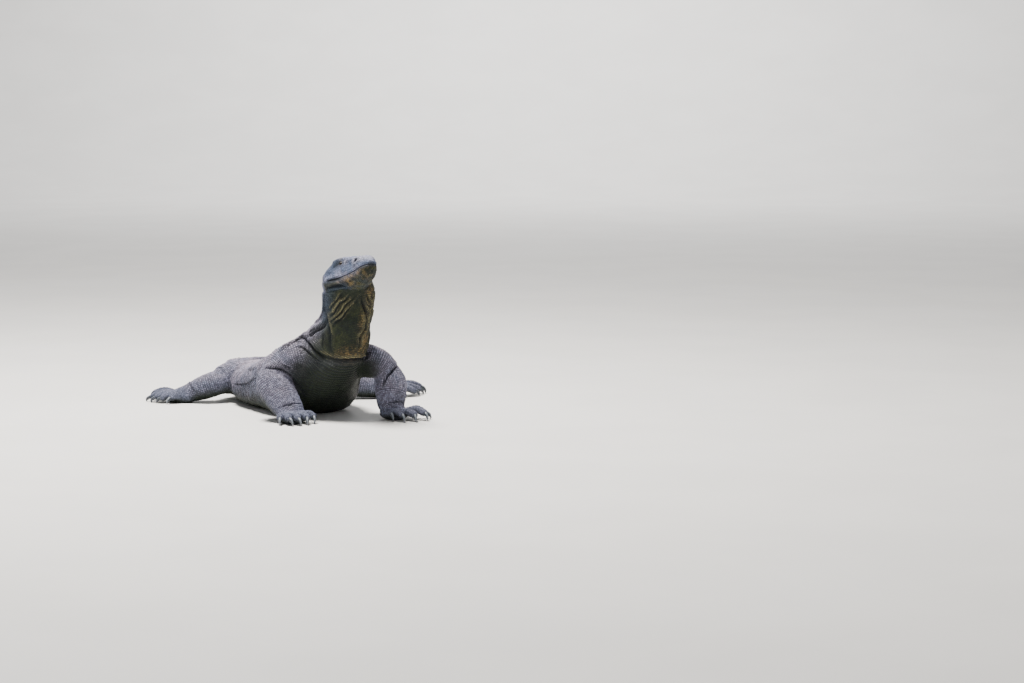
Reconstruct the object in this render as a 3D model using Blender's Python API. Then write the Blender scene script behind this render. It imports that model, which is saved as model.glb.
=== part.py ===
"""Komodo dragon, a still life-size model lying on its belly with the forequarters raised.

Metres, +Z up. The floor is z = 0 and the origin lies on the flat under the belly.
The head looks towards -Y, the tail runs towards +Y, and the animal's left side is +X.
Each part is a loft: closed sections carried along a smooth line through a few stations.
A neighbour that would overlap is cut back by a copy of the other part, grown by GAP.
"""

import math
from collections import namedtuple

import bmesh
import bpy
import numpy as np

# Driving dimensions
GAP = 0.0003  # clearance between neighbouring pieces
FLOOR_REACH = 3.0  # side of the block that cuts the flats at floor level
TAIL_LENGTH = 1.22
TAIL_SWING = math.radians(58)  # how far the tail turns from +Y towards +X
TAIL_ROOT_RISE = 0.068
TAIL_TIP_RISE = 0.007
TAIL_ROOT_WIDE = 0.060
TAIL_TIP_WIDE = 0.004
TAIL_SINK = 0.003  # depth of tail cut off as a flat along its underside
HEAD_AT = (0.0095, -0.302, 0.507)  # back of the skull, on the line of the mouth
HEAD_YAW = math.radians(-83)  # from +X, counter-clockwise seen from above
HEAD_PITCH = math.radians(22)
EYE_AT = (0.1155, 0.0436, 0.0340)  # forward, aside, up in the head's frame
EYE_RADIUS = 0.0105
NOSTRIL_AT = (0.1980, 0.0385, 0.0200)
NOSTRIL_RADIUS = 0.0045
EAR_AT = (0.0120, 0.0700, 0.0060)
EAR_RADIUS = 0.0075
MOUTH_CORNER = 0.045  # forward of the back of the skull
MOUTH_TIP = 0.236
LIP_LEVEL = -0.006
LIP_SAG = 0.008
JAW_DEPTH = 0.12  # reach of the block that parts the jaw, well below the chin
JAW_REAR_SLOPE = 0.25  # the jaw's rear edge runs back and down from the mouth corner
CLAW_LENGTH = 0.042
CLAW_DEEP = 0.0070  # half depth at the root
CLAW_WIDE = 0.0048  # half width at the root
CLAW_START = -6  # degrees above level at the root
CLAW_BEND = 98  # degrees that it turns down on the way to its tip
CLAW_TIP_SHARE = 0.14  # tip size as a share of the root's
CLAW_TIP_HEIGHT = 0.0006
DIGIT_WIDE = 0.0145
DIGIT_TIP_SHARE = 0.80
DIGIT_ROOT_AHEAD = 0.25  # share of the palm's length at which a digit's root is buried
DIGIT_ROOT_SPREAD = 0.62  # share of the palm's half width that the outer roots lie aside

# A palm's stations: share of its length, of its half width and of its thickness.
PALM = ((-0.30, 0.90, 1.20), (0.25, 0.98, 1.08), (0.65, 0.88, 0.86), (0.95, 0.66, 0.60))

BODY_SIDES = 24
HEAD_SIDES = 20
LIMB_SIDES = 12
DIGIT_SIDES = 7
CLAW_SIDES = 6
CLAW_RINGS = 5

# Colours, linear RGB
HIDE = (0.165, 0.150, 0.165)
LEG_HIDE = (0.135, 0.140, 0.175)
HEAD_HIDE = (0.230, 0.225, 0.280)
THROAT_HIDE = (0.160, 0.110, 0.060)
EYE_COLOUR = (0.020, 0.016, 0.014)
CLAW_COLOUR = (0.450, 0.455, 0.460)

# A station: centre, half width, height above and depth below the centre, squareness of
# the upper and the lower half (1 is round, less is boxy) and the direction of its top.
Station = namedtuple("Station", "x y z wide rise drop upper lower up")

BODY = [
    Station(0.022, -0.302, 0.530, 0.059, 0.036, 0.106, 0.95, 0.95, (0, 1.0, 0.20)),
    Station(0.038, -0.307, 0.490, 0.087, 0.053, 0.133, 0.95, 0.92, (0, 1.0, 0.15)),
    Station(0.038, -0.312, 0.430, 0.091, 0.066, 0.107, 0.95, 0.92, (0, 1.0, 0.20)),
    Station(0.028, -0.308, 0.360, 0.088, 0.078, 0.100, 0.95, 0.95, (0, 0.9, 0.50)),
    Station(0.012, -0.275, 0.285, 0.106, 0.092, 0.112, 0.92, 0.90, (0, 0.5, 1.00)),
    Station(0.000, -0.200, 0.222, 0.140, 0.104, 0.142, 0.90, 0.74, (0, 0.25, 1.0)),
    Station(0.000, -0.070, 0.160, 0.184, 0.104, 0.168, 0.88, 0.54, (0, 0.1, 1.0)),
    Station(0.000, 0.080, 0.108, 0.188, 0.096, 0.112, 0.86, 0.56, (0, 0, 1)),
    Station(0.000, 0.230, 0.088, 0.180, 0.082, 0.092, 0.88, 0.60, (0, 0, 1)),
    Station(0.000, 0.370, 0.078, 0.130, 0.074, 0.081, 0.92, 0.70, (0, 0, 1)),
    Station(0.003, 0.480, 0.066, 0.080, 0.068, 0.069, 0.95, 0.80, (0, 0, 1)),
]
BODY_STEPS = 2  # rings for each stretch between two stations
NECK_END = 4  # index of the station where the neck meets the trunk
TRUNK_END = 10
TAIL_STATIONS = 14
TAIL_PARTS = (4, 9, TAIL_STATIONS)  # stations at the ends of the three lengths of tail

# The head's stations: forward, half width, height, depth, upper and lower squareness.
SKULL = [
    (-0.030, 0.050, 0.030, 0.050, 0.90, 0.90),
    (0.000, 0.064, 0.047, 0.062, 0.84, 0.90),
    (0.030, 0.070, 0.056, 0.064, 0.80, 0.88),
    (0.060, 0.069, 0.064, 0.063, 0.76, 0.86),
    (0.090, 0.064, 0.066, 0.066, 0.74, 0.84),
    (0.118, 0.056, 0.062, 0.065, 0.72, 0.82),
    (0.150, 0.048, 0.050, 0.063, 0.74, 0.80),
    (0.175, 0.043, 0.043, 0.060, 0.78, 0.80),
    (0.200, 0.039, 0.037, 0.052, 0.76, 0.80),
    (0.218, 0.033, 0.030, 0.042, 0.78, 0.82),
    (0.230, 0.022, 0.018, 0.027, 0.82, 0.86),
    (0.236, 0.008, 0.006, 0.007, 0.90, 0.90),
]

# A leg's segments: stations of centre, half width and half thickness, from root to end,
# with the direction of the section's top. Right legs first.
Limb = namedtuple("Limb", "name up rows")
LIMBS = [
    Limb("upper_arm_right", (0, 1, 0), [
        (-0.050, -0.200, 0.215, 0.078, 0.078),
        (-0.110, -0.190, 0.215, 0.070, 0.070),
        (-0.165, -0.175, 0.195, 0.058, 0.060),
        (-0.203, -0.176, 0.162, 0.044, 0.046),
    ]),
    Limb("forearm_right", (0, 1, 0), [
        (-0.196, -0.158, 0.186, 0.036, 0.038),
        (-0.203, -0.188, 0.138, 0.060, 0.058),
        (-0.190, -0.232, 0.088, 0.060, 0.054),
        (-0.178, -0.266, 0.050, 0.054, 0.043),
        (-0.173, -0.290, 0.036, 0.045, 0.030),
    ]),
    Limb("upper_arm_left", (0, 1, 0), [
        (0.050, -0.220, 0.200, 0.074, 0.074),
        (0.120, -0.250, 0.208, 0.064, 0.066),
        (0.180, -0.285, 0.195, 0.054, 0.058),
        (0.216, -0.302, 0.166, 0.040, 0.044),
    ]),
    Limb("forearm_left", (0, 1, 0), [
        (0.206, -0.282, 0.188, 0.034, 0.036),
        (0.213, -0.308, 0.142, 0.054, 0.052),
        (0.202, -0.342, 0.088, 0.057, 0.052),
        (0.192, -0.366, 0.050, 0.051, 0.041),
        (0.188, -0.390, 0.036, 0.043, 0.029),
    ]),
    Limb("thigh_right", (0, 0, 1), [
        (-0.030, 0.410, 0.080, 0.060, 0.064),
        (-0.090, 0.385, 0.086, 0.068, 0.064),
        (-0.150, 0.355, 0.086, 0.060, 0.058),
        (-0.198, 0.338, 0.078, 0.040, 0.042),
    ]),
    Limb("shank_right", (0, 0, 1), [
        (-0.176, 0.332, 0.084, 0.038, 0.040),
        (-0.225, 0.355, 0.066, 0.050, 0.047),
        (-0.272, 0.385, 0.046, 0.043, 0.040),
        (-0.303, 0.404, 0.034, 0.038, 0.033),
        (-0.322, 0.415, 0.029, 0.033, 0.026),
    ]),
    Limb("thigh_left", (0, 0, 1), [
        (0.030, 0.380, 0.086, 0.064, 0.064),
        (0.110, 0.335, 0.090, 0.070, 0.066),
        (0.190, 0.270, 0.084, 0.062, 0.058),
        (0.252, 0.213, 0.070, 0.042, 0.044),
    ]),
    Limb("shank_left", (0, 0, 1), [
        (0.228, 0.230, 0.078, 0.038, 0.040),
        (0.300, 0.185, 0.060, 0.052, 0.050),
        (0.375, 0.148, 0.043, 0.044, 0.040),
        (0.423, 0.138, 0.034, 0.038, 0.032),
        (0.445, 0.138, 0.029, 0.033, 0.026),
    ]),
]

# A hand or foot: its wrist, its heading from +X and its palm. For each digit: how far its
# end lies ahead of the wrist and aside of it, the end's height, the height of the digit's
# arch, and the claw's turn from the heading in degrees.
Paw = namedtuple("Paw", "name limb wrist heading length wide thick digits")
PAWS = [
    Paw("hand_right", "forearm_right", (-0.175, -0.278, 0.032), -94, 0.054, 0.054, 0.026, [
        (0.038, -0.055, 0.024, 0.006, -22), (0.073, -0.034, 0.025, 0.010, 15),
        (0.082, -0.003, 0.025, 0.010, 8), (0.077, 0.034, 0.025, 0.010, -15),
        (0.056, 0.068, 0.025, 0.010, -10),
    ]),
    Paw("hand_left", "forearm_left", (0.189, -0.378, 0.030), -82, 0.054, 0.050, 0.025, [
        (0.050, -0.042, 0.028, 0.006, -10), (0.092, -0.020, 0.026, 0.010, -14),
        (0.112, 0.022, 0.025, 0.010, -25), (0.112, 0.066, 0.028, 0.014, -5),
        (0.080, 0.092, 0.024, 0.014, 30),
    ]),
    Paw("foot_right", "shank_right", (-0.302, 0.403, 0.030), 150, 0.068, 0.042, 0.031, [
        (0.130, -0.046, 0.030, 0.012, -45), (0.134, -0.012, 0.020, 0.014, 0),
        (0.113, 0.010, 0.020, 0.012, 2), (0.088, 0.030, 0.020, 0.010, 2),
        (0.052, 0.046, 0.022, 0.008, 50),
    ]),
    Paw("foot_left", "shank_left", (0.422, 0.138, 0.030), -2, 0.072, 0.042, 0.030, [
        (0.046, -0.052, 0.020, 0.008, 10), (0.112, -0.030, 0.022, 0.012, 5),
        (0.146, 0.002, 0.023, 0.014, 10), (0.168, 0.036, 0.028, 0.020, -20),
        (0.090, 0.060, 0.020, 0.010, 20),
    ]),
]


def clear_scene():
    for obj in list(bpy.data.objects):
        bpy.data.objects.remove(obj)


def unit(vectors):
    return vectors / np.linalg.norm(vectors, axis=-1, keepdims=True)


def through(rows, steps):
    """Rows of numbers joined by a smooth curve, with `steps` samples for each stretch."""
    rows = np.asarray(rows, float)
    key = np.r_[0, np.cumsum(np.linalg.norm(np.diff(rows[:, :3], axis=0), axis=1))]
    width = np.diff(key)
    slope = np.diff(rows, axis=0) / width[:, None]
    tangent = np.empty_like(rows)
    tangent[0], tangent[-1] = slope[0], slope[-1]
    before, after = width[:-1, None], width[1:, None]
    tangent[1:-1] = (slope[:-1] * after + slope[1:] * before) / (before + after)
    part = np.arange(steps * len(width) + 1) / steps
    at = np.minimum(part.astype(int), len(width) - 1)
    t = (part - at)[:, None]
    h = width[at][:, None]
    ends = (2 * t**3 - 3 * t**2 + 1) * rows[at] + (3 * t**2 - 2 * t**3) * rows[at + 1]
    bends = (t**3 - 2 * t**2 + t) * tangent[at] + (t**3 - t**2) * tangent[at + 1]
    return ends + h * bends


def sections(rows, steps, sides, grow=0.0):
    """Rings of points round a line of stations (11 numbers each), and the line's tangents."""
    line = through(rows, steps)
    centre, up = line[:, :3].copy(), line[:, 8:11]
    tangent = unit(np.gradient(centre, axis=0))
    aside = unit(np.cross(tangent, up))
    top = np.cross(aside, tangent)
    centre[0] -= grow * tangent[0]
    centre[-1] += grow * tangent[-1]
    angle = np.arange(sides) * 2 * math.pi / sides
    cosine, sine = np.cos(angle), np.sin(angle)
    upper = sine >= 0
    power = np.where(upper, line[:, 6:7], line[:, 7:8])
    height = np.where(upper, line[:, 4:5], line[:, 5:6]) + grow
    across = (line[:, 3:4] + grow) * np.sign(cosine) * np.abs(cosine) ** power
    along = height * np.sign(sine) * np.abs(sine) ** power
    rings = centre[:, None] + across[..., None] * aside[:, None] + along[..., None] * top[:, None]
    return rings, tangent


def flat_rows(stations):
    return [(*s[:8], *s.up) for s in stations]


def tail_rows():
    """Stations of the tail: its heading swings steadily while its section tapers to the tip."""
    share = np.linspace(0, 1, TAIL_STATIONS + 1)[1:]
    middle = share - 0.5 / TAIL_STATIONS
    heading = math.pi / 2 - TAIL_SWING * middle**0.8 * (middle > 0.08)
    step = TAIL_LENGTH / TAIL_STATIONS
    x = BODY[-1].x + np.cumsum(step * np.cos(heading))
    y = BODY[-1].y + np.cumsum(step * np.sin(heading))
    rise = TAIL_TIP_RISE + (TAIL_ROOT_RISE - TAIL_TIP_RISE) * (1 - share)
    wide = TAIL_TIP_WIDE + (TAIL_ROOT_WIDE - TAIL_TIP_WIDE) * (1 - share) ** 1.2
    sink = np.minimum(TAIL_SINK, 0.25 * rise)
    return [
        (x[i], y[i], rise[i] - sink[i], wide[i], rise[i], rise[i], 0.95, 0.85, 0, 0, 1)
        for i in range(TAIL_STATIONS)
    ]


def head_axes():
    """The head's forward, left and up directions in world axes."""
    forward = np.array([
        math.cos(HEAD_YAW) * math.cos(HEAD_PITCH),
        math.sin(HEAD_YAW) * math.cos(HEAD_PITCH),
        math.sin(HEAD_PITCH),
    ])
    left = np.array([-math.sin(HEAD_YAW), math.cos(HEAD_YAW), 0.0])
    return forward, left, np.cross(forward, left)


def on_head(ahead, aside, above):
    """World place of a point given in the head's frame, with aside positive to its left."""
    forward, left, up = head_axes()
    return np.array(HEAD_AT) + ahead * forward + aside * left + above * up


def new_object(name, mesh_tool, helper=False):
    """An object from a bmesh, closed and facing outwards. A helper only cuts or joins."""
    bmesh.ops.recalc_face_normals(mesh_tool, faces=mesh_tool.faces)
    mesh = bpy.data.meshes.new(name)
    mesh_tool.to_mesh(mesh)
    mesh_tool.free()
    obj = bpy.data.objects.new(name, mesh)
    bpy.context.scene.collection.objects.link(obj)
    if helper:
        obj.hide_render = True
        obj.display_type = "WIRE"
    else:
        mesh.shade_smooth()
        mesh.set_sharp_from_angle(angle=math.radians(50))
    return obj


def loft(name, rings, helper=False):
    """A closed body through rings of equal count, with a flat face at each end.

    The strips between rings are split into triangles the same way every time, so that a
    body and its grown copy stay parallel.
    """
    tool = bmesh.new()
    loops = [[tool.verts.new(point) for point in ring] for ring in rings]
    for first, second in zip(loops, loops[1:]):
        for i in range(len(first)):
            j = (i + 1) % len(first)
            tool.faces.new((first[i], first[j], second[j]))
            tool.faces.new((first[i], second[j], second[i]))
    tool.faces.new(loops[0][::-1])
    tool.faces.new(loops[-1])
    return new_object(name, tool, helper)


def prism(name, outline, half_width, helper=True):
    """A block with the given (ahead, above) outline in the head's frame, as wide both ways."""
    tool = bmesh.new()
    sides = [
        [tool.verts.new(on_head(ahead, aside, above)) for ahead, above in outline]
        for aside in (-half_width, half_width)
    ]
    tool.faces.new(sides[0])
    tool.faces.new(sides[1][::-1])
    for i in range(len(outline)):
        j = (i + 1) % len(outline)
        tool.faces.new((sides[0][i], sides[0][j], sides[1][j], sides[1][i]))
    return new_object(name, tool, helper)


def ball(name, centre, radius, segments=12, helper=False):
    tool = bmesh.new()
    bmesh.ops.create_uvsphere(
        tool, u_segments=segments, v_segments=segments // 2 + 1, radius=radius
    )
    bmesh.ops.translate(tool, verts=tool.verts, vec=centre)
    return new_object(name, tool, helper)


def floor_block():
    tool = bmesh.new()
    bmesh.ops.create_cube(tool, size=FLOOR_REACH)
    bmesh.ops.translate(tool, verts=tool.verts, vec=(0, 0, -FLOOR_REACH / 2))
    return new_object("floor_block", tool, helper=True)


def combine(obj, other, operation):
    step = obj.modifiers.new(f"{operation.lower()}_{other.name}", "BOOLEAN")
    step.operation = operation
    step.solver = "EXACT"
    step.object = other


def paint(obj, colour, roughness):
    material = bpy.data.materials.new(obj.name)
    material.use_nodes = True
    shader = material.node_tree.nodes["Principled BSDF"]
    shader.inputs["Base Color"].default_value = (*colour, 1)
    shader.inputs["Roughness"].default_value = roughness
    shader.inputs["Metallic"].default_value = 0
    obj.data.materials.append(material)


def head_rows():
    up = head_axes()[2]
    return [(*on_head(row[0], 0, 0), *row[1:], *up) for row in SKULL]


def lip_height(ahead):
    """Height of the mouth's line: a shallow sag between its corner and the snout's tip."""
    share = (ahead - MOUTH_CORNER) / (MOUTH_TIP - MOUTH_CORNER)
    return LIP_LEVEL - LIP_SAG * 4 * share * (1 - share)


def jaw_block(name, grow):
    """The space of the lower jaw: all below the lips and in front of the mouth's corner."""
    lip = [(MOUTH_CORNER - grow, LIP_LEVEL + grow)]
    lip += [(t, lip_height(t) + grow) for t in np.linspace(MOUTH_CORNER, MOUTH_TIP, 9)[1:]]
    lip += [(MOUTH_TIP + 0.02, LIP_LEVEL + grow), (MOUTH_TIP + 0.02, -JAW_DEPTH)]
    lip += [(MOUTH_CORNER - JAW_REAR_SLOPE * JAW_DEPTH - grow, -JAW_DEPTH)]
    return prism(name, lip, JAW_DEPTH)


def make_head():
    """Head, lower jaw and eyes, and a grown copy of the whole head that cuts the neck."""
    rings, _ = sections(head_rows(), 1, HEAD_SIDES)
    head = loft("head", rings)
    jaw = loft("lower_jaw", rings)
    combine(head, jaw_block("jaw_space", GAP), "DIFFERENCE")
    combine(jaw, jaw_block("jaw_body", 0.0), "INTERSECT")
    for side, sign in (("left", 1), ("right", -1)):
        place = on_head(EYE_AT[0], sign * EYE_AT[1], EYE_AT[2])
        eye = ball(f"eye_{side}", place, EYE_RADIUS)
        paint(eye, EYE_COLOUR, 0.08)
        combine(head, ball(f"socket_{side}", place, EYE_RADIUS + GAP, helper=True), "DIFFERENCE")
        hollows = (("nostril", NOSTRIL_AT, NOSTRIL_RADIUS), ("ear", EAR_AT, EAR_RADIUS))
        for label, at, radius in hollows:
            place = on_head(at[0], sign * at[1], at[2])
            hollow = ball(f"{label}_{side}", place, radius, 8, helper=True)
            combine(head, hollow, "DIFFERENCE")
    paint(head, HEAD_HIDE, 0.62)
    paint(jaw, THROAT_HIDE, 0.68)
    grown, _ = sections(head_rows(), 1, HEAD_SIDES, GAP)
    return loft("head_space", grown, helper=True)


def shifted(rings, tangent, first, last, trim_first, trim_last):
    """Rings first to last, with half the gap taken off a cut end along the line."""
    part = rings[first : last + 1].copy()
    if trim_first:
        part[0] += tangent[first] * GAP / 2
    if trim_last:
        part[-1] -= tangent[last] * GAP / 2
    return part


def make_body(floor, head_space):
    """Neck, trunk and three lengths of tail, parted across one line. Returns their cutter."""
    rows = flat_rows(BODY) + tail_rows()
    rings, tangent = sections(rows, BODY_STEPS, BODY_SIDES)
    ends = [0, NECK_END] + [TRUNK_END] + [TRUNK_END + n for n in TAIL_PARTS]
    names = ("neck", "trunk", "tail_base", "tail_middle", "tail_tip")
    for name, first, last in zip(names, ends, ends[1:]):
        is_tail = name.startswith("tail")
        cuts = (name != "neck", name != "tail_tip")
        part = shifted(rings, tangent, first * BODY_STEPS, last * BODY_STEPS, *cuts)
        obj = loft(name, part[:, ::2] if is_tail else part)
        if name == "neck":
            combine(obj, head_space, "DIFFERENCE")
        else:
            combine(obj, floor, "DIFFERENCE")
        paint(obj, THROAT_HIDE if name == "neck" else HIDE, 0.70)
    grown, _ = sections(rows[: TRUNK_END + TAIL_PARTS[0] + 1], BODY_STEPS, BODY_SIDES, GAP)
    return loft("body_space", grown, helper=True)


def limb_rows(limb):
    return [(*row[:4], row[4], row[4], 0.95, 0.95, *limb.up) for row in limb.rows]


def make_limbs(floor, body_space):
    """The eight leg segments. Each is cut back by the body and by the segment above it."""
    above = body_space
    spaces = {}
    for limb in LIMBS:
        obj = loft(limb.name, sections(limb_rows(limb), 2, LIMB_SIDES)[0])
        combine(obj, body_space, "DIFFERENCE")
        if limb.name.startswith(("forearm", "shank")):
            combine(obj, above, "DIFFERENCE")
            combine(obj, floor, "DIFFERENCE")
        paint(obj, LEG_HIDE, 0.70)
        grown, _ = sections(limb_rows(limb), 2, LIMB_SIDES, GAP)
        above = loft(f"{limb.name}_space", grown, helper=True)
        spaces[limb.name] = above
    return spaces


def paw_axes(paw, turn=0.0):
    """Level directions ahead and aside of a paw, turned by some degrees."""
    angle = math.radians(paw.heading + turn)
    ahead = np.array([math.cos(angle), math.sin(angle), 0.0])
    return ahead, np.array([-ahead[1], ahead[0], 0.0])


def digit_line(paw, number, digit):
    """Points along a digit, out of the palm and over an arch, and its claw's direction."""
    reach, offset, rise, arch, turn = digit
    ahead, aside = paw_axes(paw)
    root_aside = (number / 2 - 1) * paw.wide * DIGIT_ROOT_SPREAD
    root = np.array(paw.wrist) + ahead * paw.length * DIGIT_ROOT_AHEAD + aside * root_aside
    root[2] = paw.thick * 0.75
    end = np.array(paw.wrist) + ahead * reach + aside * offset
    end[2] = rise
    share = np.linspace(0, 1, 5)[:, None]
    points = root + (end - root) * share
    points[:, 2:] += arch * np.sin(math.pi * share**1.4)
    return points, paw_axes(paw, turn)[0]


def digit_rows(points):
    rows = []
    for share, point in zip(np.linspace(0, 1, len(points)), points):
        size = DIGIT_WIDE * (1 - (1 - DIGIT_TIP_SHARE) * share**2)
        drop = min(size, point[2] + 0.0015)
        rows.append((*point, size, size * 0.95, drop, 0.95, 0.85, 0, 0, 1))
    return rows


def claw_rings(tip, outward, tangent):
    """A claw from a digit's end: an arc that turns down until its point nears the floor."""
    start = tip + tangent * GAP
    fall = start[2] - CLAW_TIP_HEIGHT
    shares = np.linspace(0, 1, CLAW_RINGS)
    pitch = math.radians(CLAW_START) - math.radians(CLAW_BEND) * shares
    step = CLAW_LENGTH / (CLAW_RINGS - 1)
    run = np.r_[0, np.cumsum(step * np.cos((pitch[1:] + pitch[:-1]) / 2))]
    dip = np.r_[0, np.cumsum(step * np.sin((pitch[1:] + pitch[:-1]) / 2))]
    dip *= fall / -dip[-1]
    up = np.array([0.0, 0.0, 1.0])
    rows = []
    for share, ahead, below in zip(shares, run, dip):
        size = 1 - (1 - CLAW_TIP_SHARE) * share**1.3
        place = start + outward * ahead + up * below
        deep = CLAW_DEEP * size
        rows.append((*place, CLAW_WIDE * size, deep, deep, 1, 1, *(outward + 2 * up)))
    rings, direction = sections(rows, 1, CLAW_SIDES)
    turn = rings[0] - start
    rings[0] = start + turn - np.outer(turn @ tangent, tangent)
    return rings


def make_paws(floor, spaces):
    """Hands and feet: a palm joined with five digits, and a separate claw before each."""
    for paw in PAWS:
        wrist = np.array(paw.wrist)
        ahead = paw_axes(paw)[0]
        rows = []
        for share, spread, deep in PALM:
            place = wrist + ahead * paw.length * share
            place[2] = paw.wrist[2] * (1 - 0.45 * max(share, 0))
            thick = paw.thick * deep
            drop = min(paw.wrist[2], place[2] + 0.0015)
            rows.append((*place, paw.wide * spread, thick, drop, 0.9, 0.8, 0, 0, 1))
        obj = loft(paw.name, sections(rows, 2, LIMB_SIDES)[0])
        for number, digit in enumerate(paw.digits, 1):
            points, outward = digit_line(paw, number - 1, digit)
            rings, tangent = sections(digit_rows(points), 1, DIGIT_SIDES)
            finger = loft(f"{paw.name}_digit_{number}", rings, helper=True)
            combine(obj, finger, "UNION")
            claw = loft(f"{paw.name}_claw_{number}", claw_rings(points[-1], outward, tangent[-1]))
            paint(claw, CLAW_COLOUR, 0.35)
        combine(obj, spaces[paw.limb], "DIFFERENCE")
        combine(obj, floor, "DIFFERENCE")
        paint(obj, LEG_HIDE, 0.70)


def main():
    clear_scene()
    floor = floor_block()
    head_space = make_head()
    body_space = make_body(floor, head_space)
    spaces = make_limbs(floor, body_space)
    make_paws(floor, spaces)


main()
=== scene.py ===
"""Komodo dragon, dressed: one folded skin, beaded scales, eyes, claws and a studio.

Metres, +Z up. The head looks towards -Y and the animal's left side is +X.
"""

import math
from collections import namedtuple
from functools import partial

import bmesh
import bpy
import numpy as np
from bpy.props import FloatProperty, FloatVectorProperty, IntProperty, PointerProperty
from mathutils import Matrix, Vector
from mathutils.bvhtree import BVHTree


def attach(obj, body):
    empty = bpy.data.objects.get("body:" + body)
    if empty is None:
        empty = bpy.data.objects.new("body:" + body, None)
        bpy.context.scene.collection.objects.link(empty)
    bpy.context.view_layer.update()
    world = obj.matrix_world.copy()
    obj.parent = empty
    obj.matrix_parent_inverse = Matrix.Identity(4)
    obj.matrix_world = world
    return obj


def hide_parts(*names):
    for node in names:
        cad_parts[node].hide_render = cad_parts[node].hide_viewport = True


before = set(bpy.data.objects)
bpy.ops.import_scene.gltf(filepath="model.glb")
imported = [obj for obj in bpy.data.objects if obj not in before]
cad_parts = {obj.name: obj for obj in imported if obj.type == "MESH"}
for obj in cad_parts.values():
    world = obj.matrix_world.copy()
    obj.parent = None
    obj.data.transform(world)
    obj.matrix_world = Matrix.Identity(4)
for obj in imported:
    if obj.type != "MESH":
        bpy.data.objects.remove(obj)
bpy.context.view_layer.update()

bl_info = {
    "name": "Komodo Dragon",
    "version": (1, 0, 0),
    "blender": (4, 5, 0),
    "location": "3D View > Sidebar > Dragon",
    "description": "Builds a resting monitor lizard with a folded skin and beaded scales",
    "category": "Add Mesh",
}

# A station: centre, half width, height above and depth below the centre, squareness of
# the upper and the lower half and the direction of its top.
Z_UP = (0, 0, 1)
BODY = [
    (0.022, -0.302, 0.530, 0.059, 0.036, 0.106, 0.95, 0.95, 0, 1.0, 0.20),
    (0.038, -0.307, 0.490, 0.087, 0.053, 0.133, 0.95, 0.92, 0, 1.0, 0.15),
    (0.038, -0.312, 0.430, 0.091, 0.066, 0.107, 0.95, 0.92, 0, 1.0, 0.20),
    (0.028, -0.308, 0.360, 0.088, 0.078, 0.100, 0.95, 0.95, 0, 0.9, 0.50),
    (0.012, -0.275, 0.285, 0.106, 0.092, 0.112, 0.92, 0.90, 0, 0.5, 1.00),
    (0.000, -0.200, 0.222, 0.140, 0.104, 0.142, 0.90, 0.74, 0, 0.25, 1.0),
    (0.000, -0.070, 0.160, 0.184, 0.104, 0.168, 0.88, 0.54, 0, 0.1, 1.0),
    (0.000, 0.080, 0.108, 0.188, 0.096, 0.112, 0.86, 0.56, *Z_UP),
    (0.000, 0.230, 0.088, 0.180, 0.082, 0.092, 0.88, 0.60, *Z_UP),
    (0.000, 0.370, 0.078, 0.130, 0.074, 0.081, 0.92, 0.70, *Z_UP),
    (0.003, 0.480, 0.066, 0.080, 0.068, 0.069, 0.95, 0.80, *Z_UP),
]
TAIL_STATIONS = 14
TAIL_LENGTH = 1.22
TAIL_SWING = math.radians(58)
TAIL_ROOT_RISE = 0.068
TAIL_TIP_RISE = 0.007
TAIL_ROOT_WIDE = 0.060
TAIL_TIP_WIDE = 0.004
TAIL_SINK = 0.003

# The head's stations: forward, half width, height, depth, upper and lower squareness.
SKULL = [
    (-0.030, 0.050, 0.030, 0.050, 0.90, 0.90),
    (0.000, 0.064, 0.047, 0.062, 0.84, 0.90),
    (0.030, 0.070, 0.056, 0.064, 0.80, 0.88),
    (0.060, 0.069, 0.064, 0.063, 0.76, 0.86),
    (0.090, 0.064, 0.066, 0.066, 0.74, 0.84),
    (0.118, 0.056, 0.062, 0.065, 0.72, 0.82),
    (0.150, 0.048, 0.050, 0.063, 0.74, 0.80),
    (0.175, 0.043, 0.043, 0.060, 0.78, 0.80),
    (0.200, 0.039, 0.037, 0.052, 0.76, 0.80),
    (0.218, 0.033, 0.030, 0.042, 0.78, 0.82),
    (0.230, 0.022, 0.018, 0.027, 0.82, 0.86),
    (0.236, 0.008, 0.006, 0.007, 0.90, 0.90),
]
HEAD_AT = np.array((0.0095, -0.302, 0.507))
HEAD_YAW = math.radians(-83)
HEAD_PITCH = math.radians(22)
EYE_AT = (0.1155, 0.0436, 0.0340)
NOSTRIL_AT = (0.1980, 0.0385, 0.0200)
EAR_AT = (0.0120, 0.0700, 0.0060)
MOUTH_CORNER = 0.045
MOUTH_TIP = 0.236
LIP_LEVEL = -0.006
LIP_SAG = 0.008

# The eye's opening along and across, in eyeball radii.
EYE_OPENING = (0.92, 0.66)

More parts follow.
